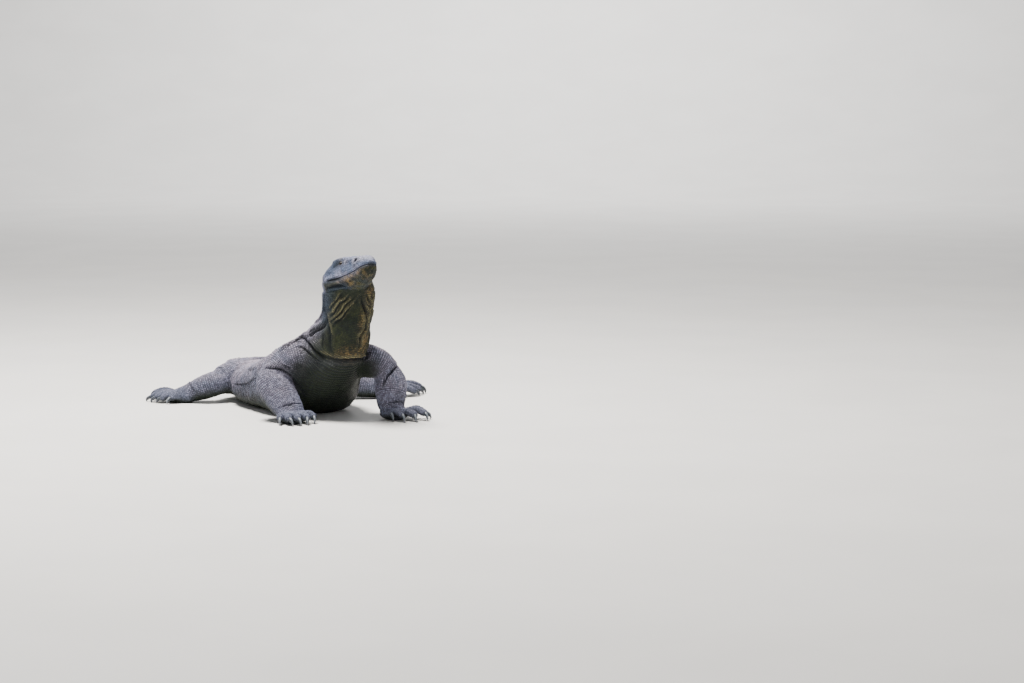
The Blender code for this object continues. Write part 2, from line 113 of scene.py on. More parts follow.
# Leg segments: centre, half width and half thickness from root to end; then top direction.
LIMBS = {
    "upper_arm_right": ((0, 1, 0), [
        (-0.050, -0.200, 0.215, 0.078, 0.078), (-0.110, -0.190, 0.215, 0.070, 0.070),
        (-0.165, -0.175, 0.195, 0.058, 0.060), (-0.203, -0.176, 0.162, 0.044, 0.046)]),
    "forearm_right": ((0, 1, 0), [
        (-0.196, -0.158, 0.186, 0.036, 0.038), (-0.203, -0.188, 0.138, 0.060, 0.058),
        (-0.190, -0.232, 0.088, 0.060, 0.054), (-0.178, -0.266, 0.050, 0.054, 0.043),
        (-0.173, -0.290, 0.036, 0.045, 0.030)]),
    "upper_arm_left": ((0, 1, 0), [
        (0.050, -0.220, 0.200, 0.074, 0.074), (0.120, -0.250, 0.208, 0.064, 0.066),
        (0.180, -0.285, 0.195, 0.054, 0.058), (0.216, -0.302, 0.166, 0.040, 0.044)]),
    "forearm_left": ((0, 1, 0), [
        (0.206, -0.282, 0.188, 0.034, 0.036), (0.213, -0.308, 0.142, 0.054, 0.052),
        (0.202, -0.342, 0.088, 0.057, 0.052), (0.192, -0.366, 0.050, 0.051, 0.041),
        (0.188, -0.390, 0.036, 0.043, 0.029)]),
    "thigh_right": (Z_UP, [
        (-0.030, 0.410, 0.080, 0.060, 0.064), (-0.090, 0.385, 0.086, 0.068, 0.064),
        (-0.150, 0.355, 0.086, 0.060, 0.058), (-0.198, 0.338, 0.078, 0.040, 0.042)]),
    "shank_right": (Z_UP, [
        (-0.176, 0.332, 0.084, 0.038, 0.040), (-0.225, 0.355, 0.066, 0.050, 0.047),
        (-0.272, 0.385, 0.046, 0.043, 0.040), (-0.303, 0.404, 0.034, 0.038, 0.033),
        (-0.322, 0.415, 0.029, 0.033, 0.026)]),
    "thigh_left": (Z_UP, [
        (0.030, 0.380, 0.086, 0.064, 0.064), (0.110, 0.335, 0.090, 0.070, 0.066),
        (0.190, 0.270, 0.084, 0.062, 0.058), (0.252, 0.213, 0.070, 0.042, 0.044)]),
    "shank_left": (Z_UP, [
        (0.228, 0.230, 0.078, 0.038, 0.040), (0.300, 0.185, 0.060, 0.052, 0.050),
        (0.375, 0.148, 0.043, 0.044, 0.040), (0.423, 0.138, 0.034, 0.038, 0.032),
        (0.445, 0.138, 0.029, 0.033, 0.026)]),
}

# Hands and feet: wrist, heading, palm size, and for each digit how far its end lies ahead
# of the wrist and aside of it, its height, its arch and its claw's turn from the heading.
Paw = namedtuple("Paw", "name wrist heading length wide thick digits")
PAWS = [
    Paw("hand_right", (-0.175, -0.278, 0.032), -94, 0.054, 0.054, 0.026, [
        (0.038, -0.055, 0.024, 0.006, -22), (0.073, -0.034, 0.025, 0.010, 15),
        (0.082, -0.003, 0.025, 0.010, 8), (0.077, 0.034, 0.025, 0.010, -15),
        (0.056, 0.068, 0.025, 0.010, -10)]),
    Paw("hand_left", (0.189, -0.378, 0.030), -82, 0.054, 0.050, 0.025, [
        (0.050, -0.042, 0.028, 0.006, -10), (0.092, -0.020, 0.026, 0.010, -14),
        (0.112, 0.022, 0.025, 0.010, -25), (0.112, 0.066, 0.028, 0.014, -5),
        (0.080, 0.092, 0.024, 0.014, 30)]),
    Paw("foot_right", (-0.302, 0.403, 0.030), 150, 0.068, 0.042, 0.031, [
        (0.130, -0.046, 0.030, 0.012, -45), (0.134, -0.012, 0.020, 0.014, 0),
        (0.113, 0.010, 0.020, 0.012, 2), (0.088, 0.030, 0.020, 0.010, 2),
        (0.052, 0.046, 0.022, 0.008, 50)]),
    Paw("foot_left", (0.422, 0.138, 0.030), -2, 0.072, 0.042, 0.030, [
        (0.046, -0.052, 0.020, 0.008, 10), (0.112, -0.030, 0.022, 0.012, 5),
        (0.146, 0.002, 0.023, 0.014, 10), (0.168, 0.036, 0.028, 0.020, -20),
        (0.090, 0.060, 0.020, 0.010, 20)]),
]
PALM = ((-0.30, 0.90, 1.20), (0.25, 0.98, 1.08), (0.65, 0.88, 0.86), (0.95, 0.66, 0.60))
DIGIT_WIDE = 0.0145
DIGIT_TIP_SHARE = 0.80
DIGIT_ROOT_AHEAD = 0.25
DIGIT_ROOT_SPREAD = 0.62
CLAW_LENGTH = 0.042
CLAW_DEEP = 0.0070
CLAW_WIDE = 0.006816
CLAW_START = -6
CLAW_BEND = 98
CLAW_TIP_HEIGHT = 0.0006
CLAW_FLOOR = 0.0002

# Folds of loose skin: depth, half width, height of the rolls beside it, the plane x that
# a copy is mirrored across (or None), and points that its line runs through.
Fold = namedtuple("Fold", "name depth width roll mirror points")
FOLDS = [
    Fold("shoulder", 0.013, 0.0070, 0.005, 0.004, [
        (-0.160, -0.205, 0.250), (-0.124, -0.208, 0.279), (-0.098, -0.225, 0.296),
        (-0.098, -0.275, 0.285), (-0.087, -0.318, 0.259), (-0.045, -0.358, 0.233)]),
    Fold("shoulder upper", 0.005, 0.0040, 0.003, 0.004, [
        (-0.132, -0.232, 0.262), (-0.112, -0.255, 0.268), (-0.102, -0.300, 0.248),
        (-0.078, -0.338, 0.222)]),
    Fold("shoulder leg", 0.012, 0.0080, 0.003, None, [
        (-0.172, -0.196, 0.236), (-0.148, -0.206, 0.260), (-0.124, -0.208, 0.279),
        (-0.103, -0.221, 0.293)]),
    Fold("nape", 0.016, 0.0085, 0.004, 0.034, [
        (-0.105, -0.255, 0.308), (-0.090, -0.275, 0.318), (-0.078, -0.290, 0.329),
        (-0.063, -0.326, 0.349), (-0.054, -0.342, 0.369)]),
    Fold("nape back", 0.006, 0.0050, 0.003, 0.034, [
        (-0.070, -0.225, 0.360), (-0.068, -0.262, 0.362), (-0.062, -0.295, 0.384),
        (-0.056, -0.318, 0.410)]),
    Fold("neck side", 0.014, 0.0065, 0.0022, 0.034, [
        (-0.051, -0.308, 0.475), (-0.052, -0.312, 0.444), (-0.053, -0.321, 0.413),
        (-0.052, -0.338, 0.376), (-0.053, -0.359, 0.322), (-0.049, -0.362, 0.267)]),
    Fold("neck low", 0.006, 0.0042, 0.0018, 0.034, [
        (-0.066, -0.330, 0.330), (-0.070, -0.338, 0.300), (-0.070, -0.340, 0.268)]),
    Fold("throat side", 0.0055, 0.0032, 0.0030, 0.040, [
        (-0.018, -0.404, 0.480), (-0.031, -0.390, 0.458), (-0.042, -0.372, 0.438),
        (-0.050, -0.352, 0.410)]),
    Fold("throat upper", 0.0065, 0.0030, 0.0036, 0.040, [
        (-0.002, -0.416, 0.474), (-0.010, -0.408, 0.452), (-0.026, -0.392, 0.438),
        (-0.034, -0.383, 0.420), (-0.042, -0.371, 0.402), (-0.049, -0.355, 0.390)]),
    Fold("throat middle", 0.0075, 0.0032, 0.0040, 0.040, [
        (0.016, -0.423, 0.468), (0.004, -0.416, 0.446), (-0.014, -0.403, 0.428),
        (-0.022, -0.394, 0.408), (-0.035, -0.379, 0.389), (-0.045, -0.364, 0.372)]),
    Fold("throat lower", 0.0060, 0.0032, 0.0036, 0.040, [
        (0.030, -0.425, 0.458), (0.013, -0.417, 0.434), (-0.005, -0.405, 0.414),
        (-0.013, -0.396, 0.392), (-0.030, -0.380, 0.372), (-0.042, -0.364, 0.352)]),
    Fold("throat deep", 0.017, 0.0058, 0.0055, None, [
        (0.039, -0.427, 0.466), (0.051, -0.420, 0.436), (0.064, -0.415, 0.416),
        (0.073, -0.407, 0.393), (0.075, -0.399, 0.368), (0.069, -0.395, 0.341),
        (0.053, -0.397, 0.322), (0.052, -0.389, 0.295), (0.049, -0.379, 0.262)]),
    Fold("throat flap", 0.0065, 0.0030, 0.0040, None, [
        (0.056, -0.427, 0.478), (0.070, -0.420, 0.450), (0.082, -0.410, 0.428),
        (0.090, -0.398, 0.400)]),
    Fold("throat edge", 0.0060, 0.0032, 0.0038, None, [
        (0.074, -0.420, 0.484), (0.086, -0.411, 0.458), (0.096, -0.396, 0.430),
        (0.101, -0.380, 0.395)]),
    Fold("jaw", 0.0085, 0.0042, 0.0035, 0.0095, [
        (-0.055, -0.328, 0.487), (-0.052, -0.357, 0.496), (-0.043, -0.389, 0.504),
        (-0.034, -0.408, 0.506), (-0.022, -0.425, 0.502)]),
    Fold("gular", 0.014, 0.0080, 0.007, None, [
        (-0.045, -0.358, 0.233), (-0.010, -0.368, 0.231), (0.038, -0.365, 0.229),
        (0.085, -0.345, 0.226), (0.116, -0.318, 0.226), (0.142, -0.296, 0.243)]),
    Fold("elbow right", 0.011, 0.0052, 0.005, None, [
        (-0.232, -0.190, 0.190), (-0.210, -0.216, 0.194), (-0.176, -0.230, 0.185),
        (-0.138, -0.224, 0.154), (-0.116, -0.243, 0.118), (-0.100, -0.240, 0.091)]),
    Fold("elbow right upper", 0.004, 0.0036, 0.003, None, [
        (-0.198, -0.222, 0.210), (-0.160, -0.232, 0.200), (-0.126, -0.232, 0.168)]),
    Fold("elbow left", 0.011, 0.0052, 0.005, None, [
        (0.242, -0.318, 0.188), (0.212, -0.344, 0.176), (0.174, -0.358, 0.142),
        (0.155, -0.359, 0.113)]),
    Fold("flank", 0.005, 0.0040, 0.0035, 0.0, [
        (-0.182, 0.205, 0.086), (-0.187, 0.150, 0.092), (-0.187, 0.088, 0.101),
        (-0.187, 0.010, 0.128), (-0.175, -0.080, 0.165)]),
    Fold("flank upper", 0.003, 0.0045, 0.003, 0.0, [
        (-0.160, 0.130, 0.150), (-0.172, 0.060, 0.150), (-0.176, -0.010, 0.168)]),
    Fold("wrist right", 0.004, 0.0032, 0.002, None, [
        (-0.223, -0.286, 0.060), (-0.200, -0.299, 0.067), (-0.160, -0.301, 0.069),
        (-0.130, -0.285, 0.060)]),
    Fold("wrist left", 0.004, 0.0032, 0.002, None, [
        (0.148, -0.388, 0.056), (0.180, -0.402, 0.064), (0.215, -0.398, 0.062),
        (0.238, -0.380, 0.052)]),
    Fold("ankle right", 0.004, 0.0034, 0.0025, None, [
        (-0.300, 0.400, 0.070), (-0.298, 0.376, 0.072), (-0.297, 0.353, 0.056),
        (-0.280, 0.339, 0.041)]),
    Fold("ankle left", 0.004, 0.0034, 0.0025, None, [
        (0.410, 0.180, 0.050), (0.408, 0.150, 0.068), (0.406, 0.120, 0.060),
        (0.400, 0.098, 0.040)]),
    Fold("groin right", 0.010, 0.0085, 0.004, None, [
        (-0.095, 0.325, 0.158), (-0.130, 0.303, 0.142), (-0.150, 0.290, 0.118),
        (-0.160, 0.285, 0.088), (-0.162, 0.284, 0.050)]),
    Fold("groin left", 0.010, 0.0085, 0.004, None, [
        (0.110, 0.262, 0.158), (0.145, 0.240, 0.142), (0.166, 0.224, 0.115),
        (0.176, 0.216, 0.085), (0.178, 0.214, 0.050)]),
    Fold("knee right", 0.003, 0.0042, 0.002, None, [
        (-0.190, 0.385, 0.115), (-0.186, 0.345, 0.128), (-0.184, 0.300, 0.108)]),
    Fold("knee left", 0.003, 0.0042, 0.002, None, [
        (0.258, 0.250, 0.100), (0.240, 0.222, 0.118), (0.222, 0.180, 0.098)]),
]

# Broad swellings of muscle and bone: centre, reach along x, y, z and height.
SWELLS = [
    ((-0.115, -0.215, 0.245), (0.045, 0.050, 0.035), 0.010),
    ((0.125, -0.225, 0.235), (0.045, 0.050, 0.035), 0.009),
    ((-0.060, -0.250, 0.330), (0.030, 0.040, 0.040), 0.008),
    ((0.110, -0.255, 0.330), (0.030, 0.040, 0.040), 0.008),
    ((0.112, -0.320, 0.305), (0.035, 0.045, 0.040), 0.014),
    ((0.030, -0.365, 0.262), (0.070, 0.040, 0.022), 0.009),
    ((-0.236, -0.200, 0.125), (0.030, 0.040, 0.045), 0.005),
    ((0.245, -0.320, 0.125), (0.030, 0.040, 0.045), 0.005),
    ((-0.120, 0.340, 0.130), (0.060, 0.040, 0.030), 0.007),
    ((0.130, 0.290, 0.135), (0.060, 0.040, 0.030), 0.007),
    ((-0.235, 0.330, 0.080), (0.040, 0.030, 0.030), 0.005),
    ((0.300, 0.160, 0.075), (0.040, 0.030, 0.030), 0.005),
    ((-0.066, 0.400, 0.140), (0.028, 0.045, 0.022), 0.006),
    ((0.066, 0.400, 0.140), (0.028, 0.045, 0.022), 0.006),
]

# Where the neck's upper end is smoothed into the jaw: centre, reach along x, y and z.
SHELF = ((0.100, -0.395, 0.510), (0.040, 0.045, 0.030))
SHELF_ROUNDS = 10

# Bones of the head in its own frame, in mm: height, then middle and reach ahead, aside
# and above; and ridges: height, half width, start and end.
HEAD_FORMS = (
    (-6.0, 156, 18, 47, 20, 20, 13), (-5.0, 86, 15, 60, 20, 33, 9),
    (-4.0, 60, 20, 66, 20, 14, 10), (8.0, 46, 26, 68, 30, -10, 18),
    (3.2, 128, 16, 54, 20, 10, 10), (3.0, 196, 16, 38, 16, 20, 14),
    (3.0, 150, 70, 0, 30, -48, 20),
)
RIDGES = (
    (6.8, 9.2, (74, 46.5, 55.5), (155, 36.5, 45.5)),
    (3.0, 8.0, (150, 37, 42), (195, 37, 33)),
    (3.4, 10.0, (86, 62, 44), (26, 66, 22)),
)

# Nostrils and ears: two ways across in the head's forward and up, over the half sizes,
# how near the surface lies, where the hole starts, its rim, depth, painted shade and bare edge.
Opening = namedtuple(
    "Opening", "place long_way cross_way reach inner rim rim_at rim_wide depth dark bare")
OPENINGS = (
    Opening(NOSTRIL_AT, (0.82 / 0.0086, 0.57 / 0.0086), (-0.57 / 0.0062, 0.82 / 0.0062),
            0.02, 0.55, 0.0016, 1.6, 0.45, 0.0085, 1.2, 1.15),
    Opening(EAR_AT, (1 / 0.0070, 0.25 / 0.0070), (0, 1 / 0.0125),
            0.03, 0.50, 0.0022, 1.5, 0.40, 0.0075, 1.0, 1.10),
)

# Colour patches: ochre ones on the throat with their share and x and z in mm; then the
# temple, lore and cheek, which are patches of painted shade, and the crown and brow, in the head's
# frame.
TAN_PATCHES = ((1.25, 86, 20, 450, 50), (0.8, 80, 22, 300, 45), (0.6, 58, 12, 370, 45))
HEAD_PATCHES = (
    (90, 28, 54, 24, 43, 14), (152, 22, 46, 20, 22, 9), (62, 20, 66, 30, 14, 8),
    (119, 8, 42, 12, 53, 6), (139, 7, 45, 12, 34, 6),
)
SOFT_ROUNDS = {"throat": 20, "under": 20, "head": 14, "paw": 40, "warm": 10, "shade": 8,
               "lift": 6, "dusty": 20}

# Rings between two of the body's stations, the rows of the dome before its first one, and
# the station number of whatever isn't on the body.
BODY_STEPS = 8
DOME_ROWS = 3
OFF_BODY = 99

FIND_BLOCK = 20000
SKIN_FLOOR = 0.0006
SCALE_FLOOR = 0.0003
SCALE_PATCH = 0.00125
SEAT_REACH = 0.030
SHELF_REACH = 0.012
FLOOR_SIDES = 96
BACKDROP_RUN = 16
BACKDROP_RISE = 9.0

FLESH = [
    "head", "lower_jaw", "neck", "trunk", "tail_base", "tail_middle", "tail_tip",
    *LIMBS, *(paw.name for paw in PAWS),
]

Tube = namedtuple("Tube", "name centre tangent aside top wide rise drop upper lower reach")


# ---------------------------------------------------------------- shapes as formulas


def unit(vectors):
    """Vectors divided by their lengths."""
    return vectors / np.maximum(np.linalg.norm(vectors, axis=-1, keepdims=True), 1e-12)


def ramp(low, high, value):
    """0 below low, 1 above high, and the cubic 3t^2 - 2t^3 between them."""
    t = np.clip((value - low) / (high - low), 0, 1)
    return t * t * (3 - 2 * t)


def bell(*ratios):
    """exp of minus the sum of the squared ratios: 1 in the middle, fading all round."""
    return np.exp(-sum(np.square(ratio) for ratio in ratios))


def mound(points, centre, reach):
    """A bell about a place, with its own reach along x, y and z."""
    return bell(*((points[:, k] - centre[k]) / reach[k] for k in range(3)))


def spot(values, *form):
    """A bell over several values at once: for each its middle and reach, in millimetres."""
    return bell(*((value - 1e-3 * middle) / (1e-3 * reach)
                  for value, middle, reach in zip(values, form[::2], form[1::2])))


def turns(sides):
    """Angles of equal steps once round."""
    return np.arange(sides) * 2 * math.pi / sides


def run_of(line):
    """Length along a line up to each of its points."""
    return np.r_[0, np.cumsum(np.linalg.norm(np.diff(line, axis=0), axis=1))]


def rows_at(at, rows):
    """A table's values at row numbers with fractions, column by column."""
    if rows.ndim > 1:
        return np.stack([rows_at(at, column) for column in rows.T], -1)
    return np.interp(at, np.arange(len(rows)), rows)


def through(rows, steps):
    """Rows joined by a cubic curve that leaves each row along the mean of its two slopes."""
    rows = np.asarray(rows, float)
    width = np.diff(run_of(rows[:, :3]))
    slope = np.diff(rows, axis=0) / width[:, None]
    tangent = np.empty_like(rows)
    tangent[0], tangent[-1] = slope[0], slope[-1]
    before, after = width[:-1, None], width[1:, None]
    tangent[1:-1] = (slope[:-1] * after + slope[1:] * before) / (before + after)
    part = np.arange(steps * len(width) + 1) / steps
    at = np.minimum(part.astype(int), len(width) - 1)
    t = (part - at)[:, None]
    ends = (2 * t**3 - 3 * t**2 + 1) * rows[at] + (3 * t**2 - 2 * t**3) * rows[at + 1]
    bends = (t**3 - 2 * t**2 + t) * tangent[at] + (t**3 - t**2) * tangent[at + 1]
    return ends + width[at][:, None] * bends


def tube_of(name, rows, steps):
    """A line of sections: at each step its centre, its three directions and its sizes."""
    line = through(rows, steps)
    centre = line[:, :3]
    tangent = unit(np.gradient(centre, axis=0))
    aside = unit(np.cross(tangent, line[:, 8:11]))
    top = np.cross(aside, tangent)
    return Tube(name, centre, tangent, aside, top, *line[:, 3:8].T, run_of(centre))


def on_tube(tube, at, angle, sink=0.0):
    """Point at ring number `at` (with fractions) and `angle`: a superellipse whose upper
    and lower halves have their own height and squareness, drawn in by `sink`."""
    keys = ("wide", "rise", "drop", "upper", "lower", "centre", "aside", "top")
    wide, rise, drop, upper, lower, centre, aside, top = (
        rows_at(at, getattr(tube, key)) for key in keys)
    cosine, sine = np.cos(angle), np.sin(angle)
    power = np.where(sine >= 0, upper, lower)
    height = np.where(sine >= 0, rise, drop) - sink
    across = (wide - sink) * np.sign(cosine) * np.abs(cosine) ** power
    above = height * np.sign(sine) * np.abs(sine) ** power
    return centre + across[..., None] * aside + above[..., None] * top


def find_on_tube(tube, points):
    """The reverse of on_tube: ring number, angle and height over the section's edge.

    The nearest ring is taken, and the point's distance ahead of it gives the fraction.
    """
    nearest = np.empty(len(points), int)
    for start in range(0, len(points), FIND_BLOCK):
        block = points[start : start + FIND_BLOCK]
        square = (block**2).sum(1)[:, None] - 2 * block @ tube.centre.T
        nearest[start : start + FIND_BLOCK] = (square + (tube.centre**2).sum(1)).argmin(1)
    offset = points - tube.centre[nearest]
    ahead, across, above = (
        (offset * axis[nearest]).sum(1) for axis in (tube.tangent, tube.aside, tube.top))
    spacing = np.gradient(tube.reach)[nearest]
    height = np.where(above >= 0, tube.rise[nearest], tube.drop[nearest])
    power = np.where(above >= 0, tube.upper[nearest], tube.lower[nearest])
    across, above = across / tube.wide[nearest], above / height
    cosine = np.sign(across) * np.abs(across) ** (1 / power)
    sine = np.sign(above) * np.abs(above) ** (1 / power)
    level = np.hypot(cosine, sine) ** power - 1
    beyond = np.maximum(0, np.abs(ahead) - spacing)
    size = np.minimum(tube.wide[nearest], height)
    return nearest + np.clip(ahead / spacing, -1, 1), np.arctan2(sine, cosine), level * size + beyond


def tail_rows():
    """The tail's stations: its heading swings steadily while its section tapers."""
    share = np.linspace(0, 1, TAIL_STATIONS + 1)[1:]
    middle = share - 0.5 / TAIL_STATIONS
    heading = math.pi / 2 - TAIL_SWING * middle**0.8 * (middle > 0.08)
    step = TAIL_LENGTH / TAIL_STATIONS
    x = BODY[-1][0] + np.cumsum(step * np.cos(heading))
    y = BODY[-1][1] + np.cumsum(step * np.sin(heading))
    rise = TAIL_TIP_RISE + (TAIL_ROOT_RISE - TAIL_TIP_RISE) * (1 - share)
    wide = TAIL_TIP_WIDE + (TAIL_ROOT_WIDE - TAIL_TIP_WIDE) * (1 - share) ** 1.2
    sink = np.minimum(TAIL_SINK, 0.25 * rise)
    return [(x[i], y[i], rise[i] - sink[i], wide[i], rise[i], rise[i], 0.95, 0.85, *Z_UP)
            for i in range(TAIL_STATIONS)]


def head_axes():
    """The head's forward, left and up directions, as rows."""
    forward = np.array([
        math.cos(HEAD_YAW) * math.cos(HEAD_PITCH),
        math.sin(HEAD_YAW) * math.cos(HEAD_PITCH),
        math.sin(HEAD_PITCH),
    ])
    left = np.array([-math.sin(HEAD_YAW), math.cos(HEAD_YAW), 0.0])
    return np.array([forward, left, np.cross(forward, left)])


def on_head(ahead, aside, above):
    """World place of a point in the head's frame."""
    return HEAD_AT + np.array([ahead, aside, above]) @ head_axes()


def in_head(points):
    """How far points lie ahead, aside and above in the head's frame."""
    return ((points - HEAD_AT) @ head_axes().T).T


def lip_height(ahead):
    """The mouth's line: a parabola that sags between its corner and the snout's tip."""
    share = (ahead - MOUTH_CORNER) / (MOUTH_TIP - MOUTH_CORNER)
    return LIP_LEVEL - LIP_SAG * 4 * share * (1 - share)


def paw_axes(paw, spread=0.0):
    """Ahead and aside of a paw, level, turned by spread degrees."""
    angle = math.radians(paw.heading + spread)
    return (np.array([math.cos(angle), math.sin(angle), 0.0]),
            np.array([-math.sin(angle), math.cos(angle), 0.0]))


def digit_line(paw, number, digit):
    """Five points along a digit: out of the palm, over an arch and down to its claw."""
    reach, offset, rise, arch, turn = digit
    ahead, aside = paw_axes(paw)
    root = np.array(paw.wrist) + ahead * paw.length * DIGIT_ROOT_AHEAD
    root = root + aside * (number / 2 - 1) * paw.wide * DIGIT_ROOT_SPREAD
    root[2] = paw.thick * 0.75
    end = np.array(paw.wrist) + ahead * reach + aside * offset
    end[2] = rise
    share = np.linspace(0, 1, 5)[:, None]
    points = root + (end - root) * share
    points[:, 2:] += arch * np.sin(math.pi * share**1.4)
    return points, paw_axes(paw, turn)[0]


def digit_rows(points, outward):
    """Stations of a digit, with a rounded end over the root of its claw."""
    rows = []
    for share, point in zip(np.linspace(0, 1, len(points)), points):
        size = DIGIT_WIDE * (1 - (1 - DIGIT_TIP_SHARE) * share**2)
        rows.append((*point, size, size * 0.95, min(size, point[2] + 0.0015),
                     0.95, 0.85, *Z_UP))
    tip = size * 0.95
    onward = unit(outward + unit(points[-1] - points[-2]))
    for ahead, share in ((0.0040, 0.86), (0.0075, 0.60)):
        place = points[-1] + onward * ahead
        rows.append((*place, tip * share, tip * share, tip * share, 0.95, 0.9, *Z_UP))
    return rows


def palm_rows(paw):
    """Stations of a palm, from inside the wrist to the roots of the digits."""
    ahead = paw_axes(paw)[0]
    rows = []
    for share, spread, deep in PALM:
        place = np.array(paw.wrist) + ahead * paw.length * share
        place[2] = paw.wrist[2] * (1 - 0.45 * max(share, 0))
        rows.append((*place, paw.wide * spread, paw.thick * deep,
                     min(paw.wrist[2], place[2] + 0.0015), 0.9, 0.8, *Z_UP))
    return rows


def dome_end(end, before):
    """Three shrinking stations beyond a tube's end, so that it closes in a dome."""
    end = np.array(end, float)
    onward = unit(end[:3] - np.array(before[:3]))
    rows = []
    for ahead, share in ((0.34, 0.84), (0.56, 0.50), (0.64, 0.04)):
        row = end.copy()
        row[:3] += onward * ahead * end[3:6].min()
        row[3:6] *= share
        rows.append(row)
    return rows


def all_tubes():
    """Every tube of the animal, in a fixed order: body, head, limbs, palms, digits."""
    up = head_axes()[2]
    skull = [(*on_head(row[0], 0, 0), *row[1:], *up) for row in SKULL]
    skull = dome_end(skull[0], skull[1])[::-1] + skull
    trunk = dome_end(BODY[0], BODY[1])[::-1] + BODY + tail_rows()
    tubes = [tube_of("body", trunk, BODY_STEPS), tube_of("head", skull, 6)]
    for name, (top, rows) in LIMBS.items():
        wide = [(*row[:4], row[4], row[4], 0.95, 0.95, *top) for row in rows]
        wide = dome_end(wide[0], wide[1])[::-1] + wide + dome_end(wide[-1], wide[-2])
        tubes.append(tube_of(name, wide, 8))
    for paw in PAWS:
        tubes.append(tube_of(paw.name, palm_rows(paw), 6))
    for paw in PAWS:
        for number, digit in enumerate(paw.digits, 1):
            points, outward = digit_line(paw, number - 1, digit)
            name = f"{paw.name}_digit_{number}"
            tubes.append(tube_of(name, digit_rows(points, outward), 4))
    return tubes


def wobble(points, size, seed):
    """Smooth uneven value from -1 to 1: the mean of eight sine waves of random headings,
    their lengths spread about `size`."""
    rng = np.random.default_rng(seed)
    total = np.zeros(points.shape[:-1])
    for _ in range(8):
        wave = unit(rng.normal(size=3)) * 2 * math.pi / (size * rng.uniform(0.7, 1.4))
        total += np.sin(points @ wave + rng.uniform(0, 6.28))
    return total / 4


def pleats(phase):
    """Rounded crests with narrow valleys: twice |sin| less one, so 1 on crests, -1 between."""
    return 2 * np.sqrt(np.abs(np.sin(math.pi * phase)) + 1e-9) - 1


# ---------------------------------------------------------------- meshes


def grid_faces(rings, sides, start=0):
    """Quads of a tube of rings, joined round, with the outside out."""
    i, j = np.meshgrid(np.arange(rings - 1), np.arange(sides), indexing="ij")
    k = (j + 1) % sides
    corners = (i * sides + j, (i + 1) * sides + j, (i + 1) * sides + k, i * sides + k)
    return start + np.stack([corner.ravel() for corner in corners], -1)


def halves(quads):
    """Two triangles for every quad."""
    return np.concatenate([quads[:, [0, 1, 2]], quads[:, [0, 2, 3]]])


def fans(rings, sides, start=0):
    """Triangles that close a tube's two ends on the two points numbered after its rings."""
    j = np.arange(sides)
    k = (j + 1) % sides
    hub = np.full(sides, rings * sides)
    end = (rings - 1) * sides
    ends = (np.stack([j, k, hub], 1), np.stack([end + k, end + j, hub + 1], 1))
    return start + np.concatenate(ends)


def tube_faces(rings, sides, start=0):
    """Triangles of a tube of rings with both ends closed."""
    return np.concatenate([halves(grid_faces(rings, sides, start)), fans(rings, sides, start)])


def add_object(name, data):
    """A new object at the origin, in the scene."""
    obj = bpy.data.objects.new(name, data)
    bpy.context.scene.collection.objects.link(obj)
    return obj


def fresh_mesh(obj):
    """The object's mesh with its modifiers worked in."""
    graph = bpy.context.evaluated_depsgraph_get()
    graph.update()
    return bpy.data.meshes.new_from_object(obj.evaluated_get(graph))


def read(mesh, size="vertices", key="co", width=3, kind=np.float64):
    """A whole property of a mesh's parts as an array."""
    parts = getattr(mesh, size)
    values = np.empty(len(parts) * width, kind)
    parts.foreach_get(key, values)
    return values.reshape(-1, width) if width > 1 else values


def put_field(mesh, name, values):
    """Stores one number for each point of a mesh, for the materials to read."""
    field = mesh.attributes.get(name) or mesh.attributes.new(name, "FLOAT", "POINT")
    field.data.foreach_set("value", np.ascontiguousarray(values, np.float32))


def get_field(mesh, name):
    """One stored number for each point of a mesh."""
    values = np.empty(len(mesh.vertices), np.float32)
    mesh.attributes[name].data.foreach_get("value", values)
    return values


def shape_mesh(mesh, points):
    """Moves a mesh's points, and returns its outward directions there."""
    mesh.vertices.foreach_set("co", points.ravel())
    mesh.update()
    return read(mesh, "vertex_normals", "vector")


def settle(points, edges, rounds, pull, push):
    """Evens out a surface: each point moves to the mean of its neighbours by `pull`,
    then back by `push`, so that steps go and the size stays."""
    count = np.bincount(edges.ravel(), minlength=len(points))
    for turn in range(rounds * 2):
        mean = neighbour_mean(points, edges, count)
        points = points + (pull if turn % 2 == 0 else -push) * (mean - points)
    return points


def off_digits(points):
    """1 over most of the body, falling to 0 over the digits."""
    away = np.ones(len(points))
    for paw in PAWS:
        offset = points - np.array(paw.wrist)
        ahead, aside = (offset @ axis for axis in paw_axes(paw))
        near = (np.abs(aside) < 0.13) & (ahead < 0.22) & (points[:, 2] < 0.07)
        away = np.where(near, np.minimum(away, 1 - ramp(0.25, 0.65, ahead / paw.length)), away)
    return away


def neighbour_mean(values, edges, count):
    """For each point the mean of a value, or of each column, over its neighbours."""
    if values.ndim > 1:
        return np.stack([neighbour_mean(column, edges, count) for column in values.T], 1)
    total = np.bincount(edges[:, 0], values[edges[:, 1]], len(values))
    return (total + np.bincount(edges[:, 1], values[edges[:, 0]], len(values))) / count


def soften(values, edges, rounds, share=1.0):
    """Values evened out over a mesh by repeated steps to the mean of the neighbours."""
    count = np.bincount(edges.ravel(), minlength=len(values))
    for _ in range(rounds):
        values = values + share * (neighbour_mean(values, edges, count) - values)
    return values


def fill_hollows(mesh, points, edges, rounds, away):
    """Flows flesh into the creases where tubes meet: a point below the mean of its
    neighbours rises to it by its share in `away`, and one above stays."""
    count = np.bincount(edges.ravel(), minlength=len(points))
    for turn in range(rounds):
        if turn % 6 == 0:
            normal = shape_mesh(mesh, points)
        rise = ((neighbour_mean(points, edges, count) - points) * normal).sum(1)
        points = points + normal * (0.85 * away * np.maximum(rise, 0))[:, None]
    return points


# ---------------------------------------------------------------- the skin's relief


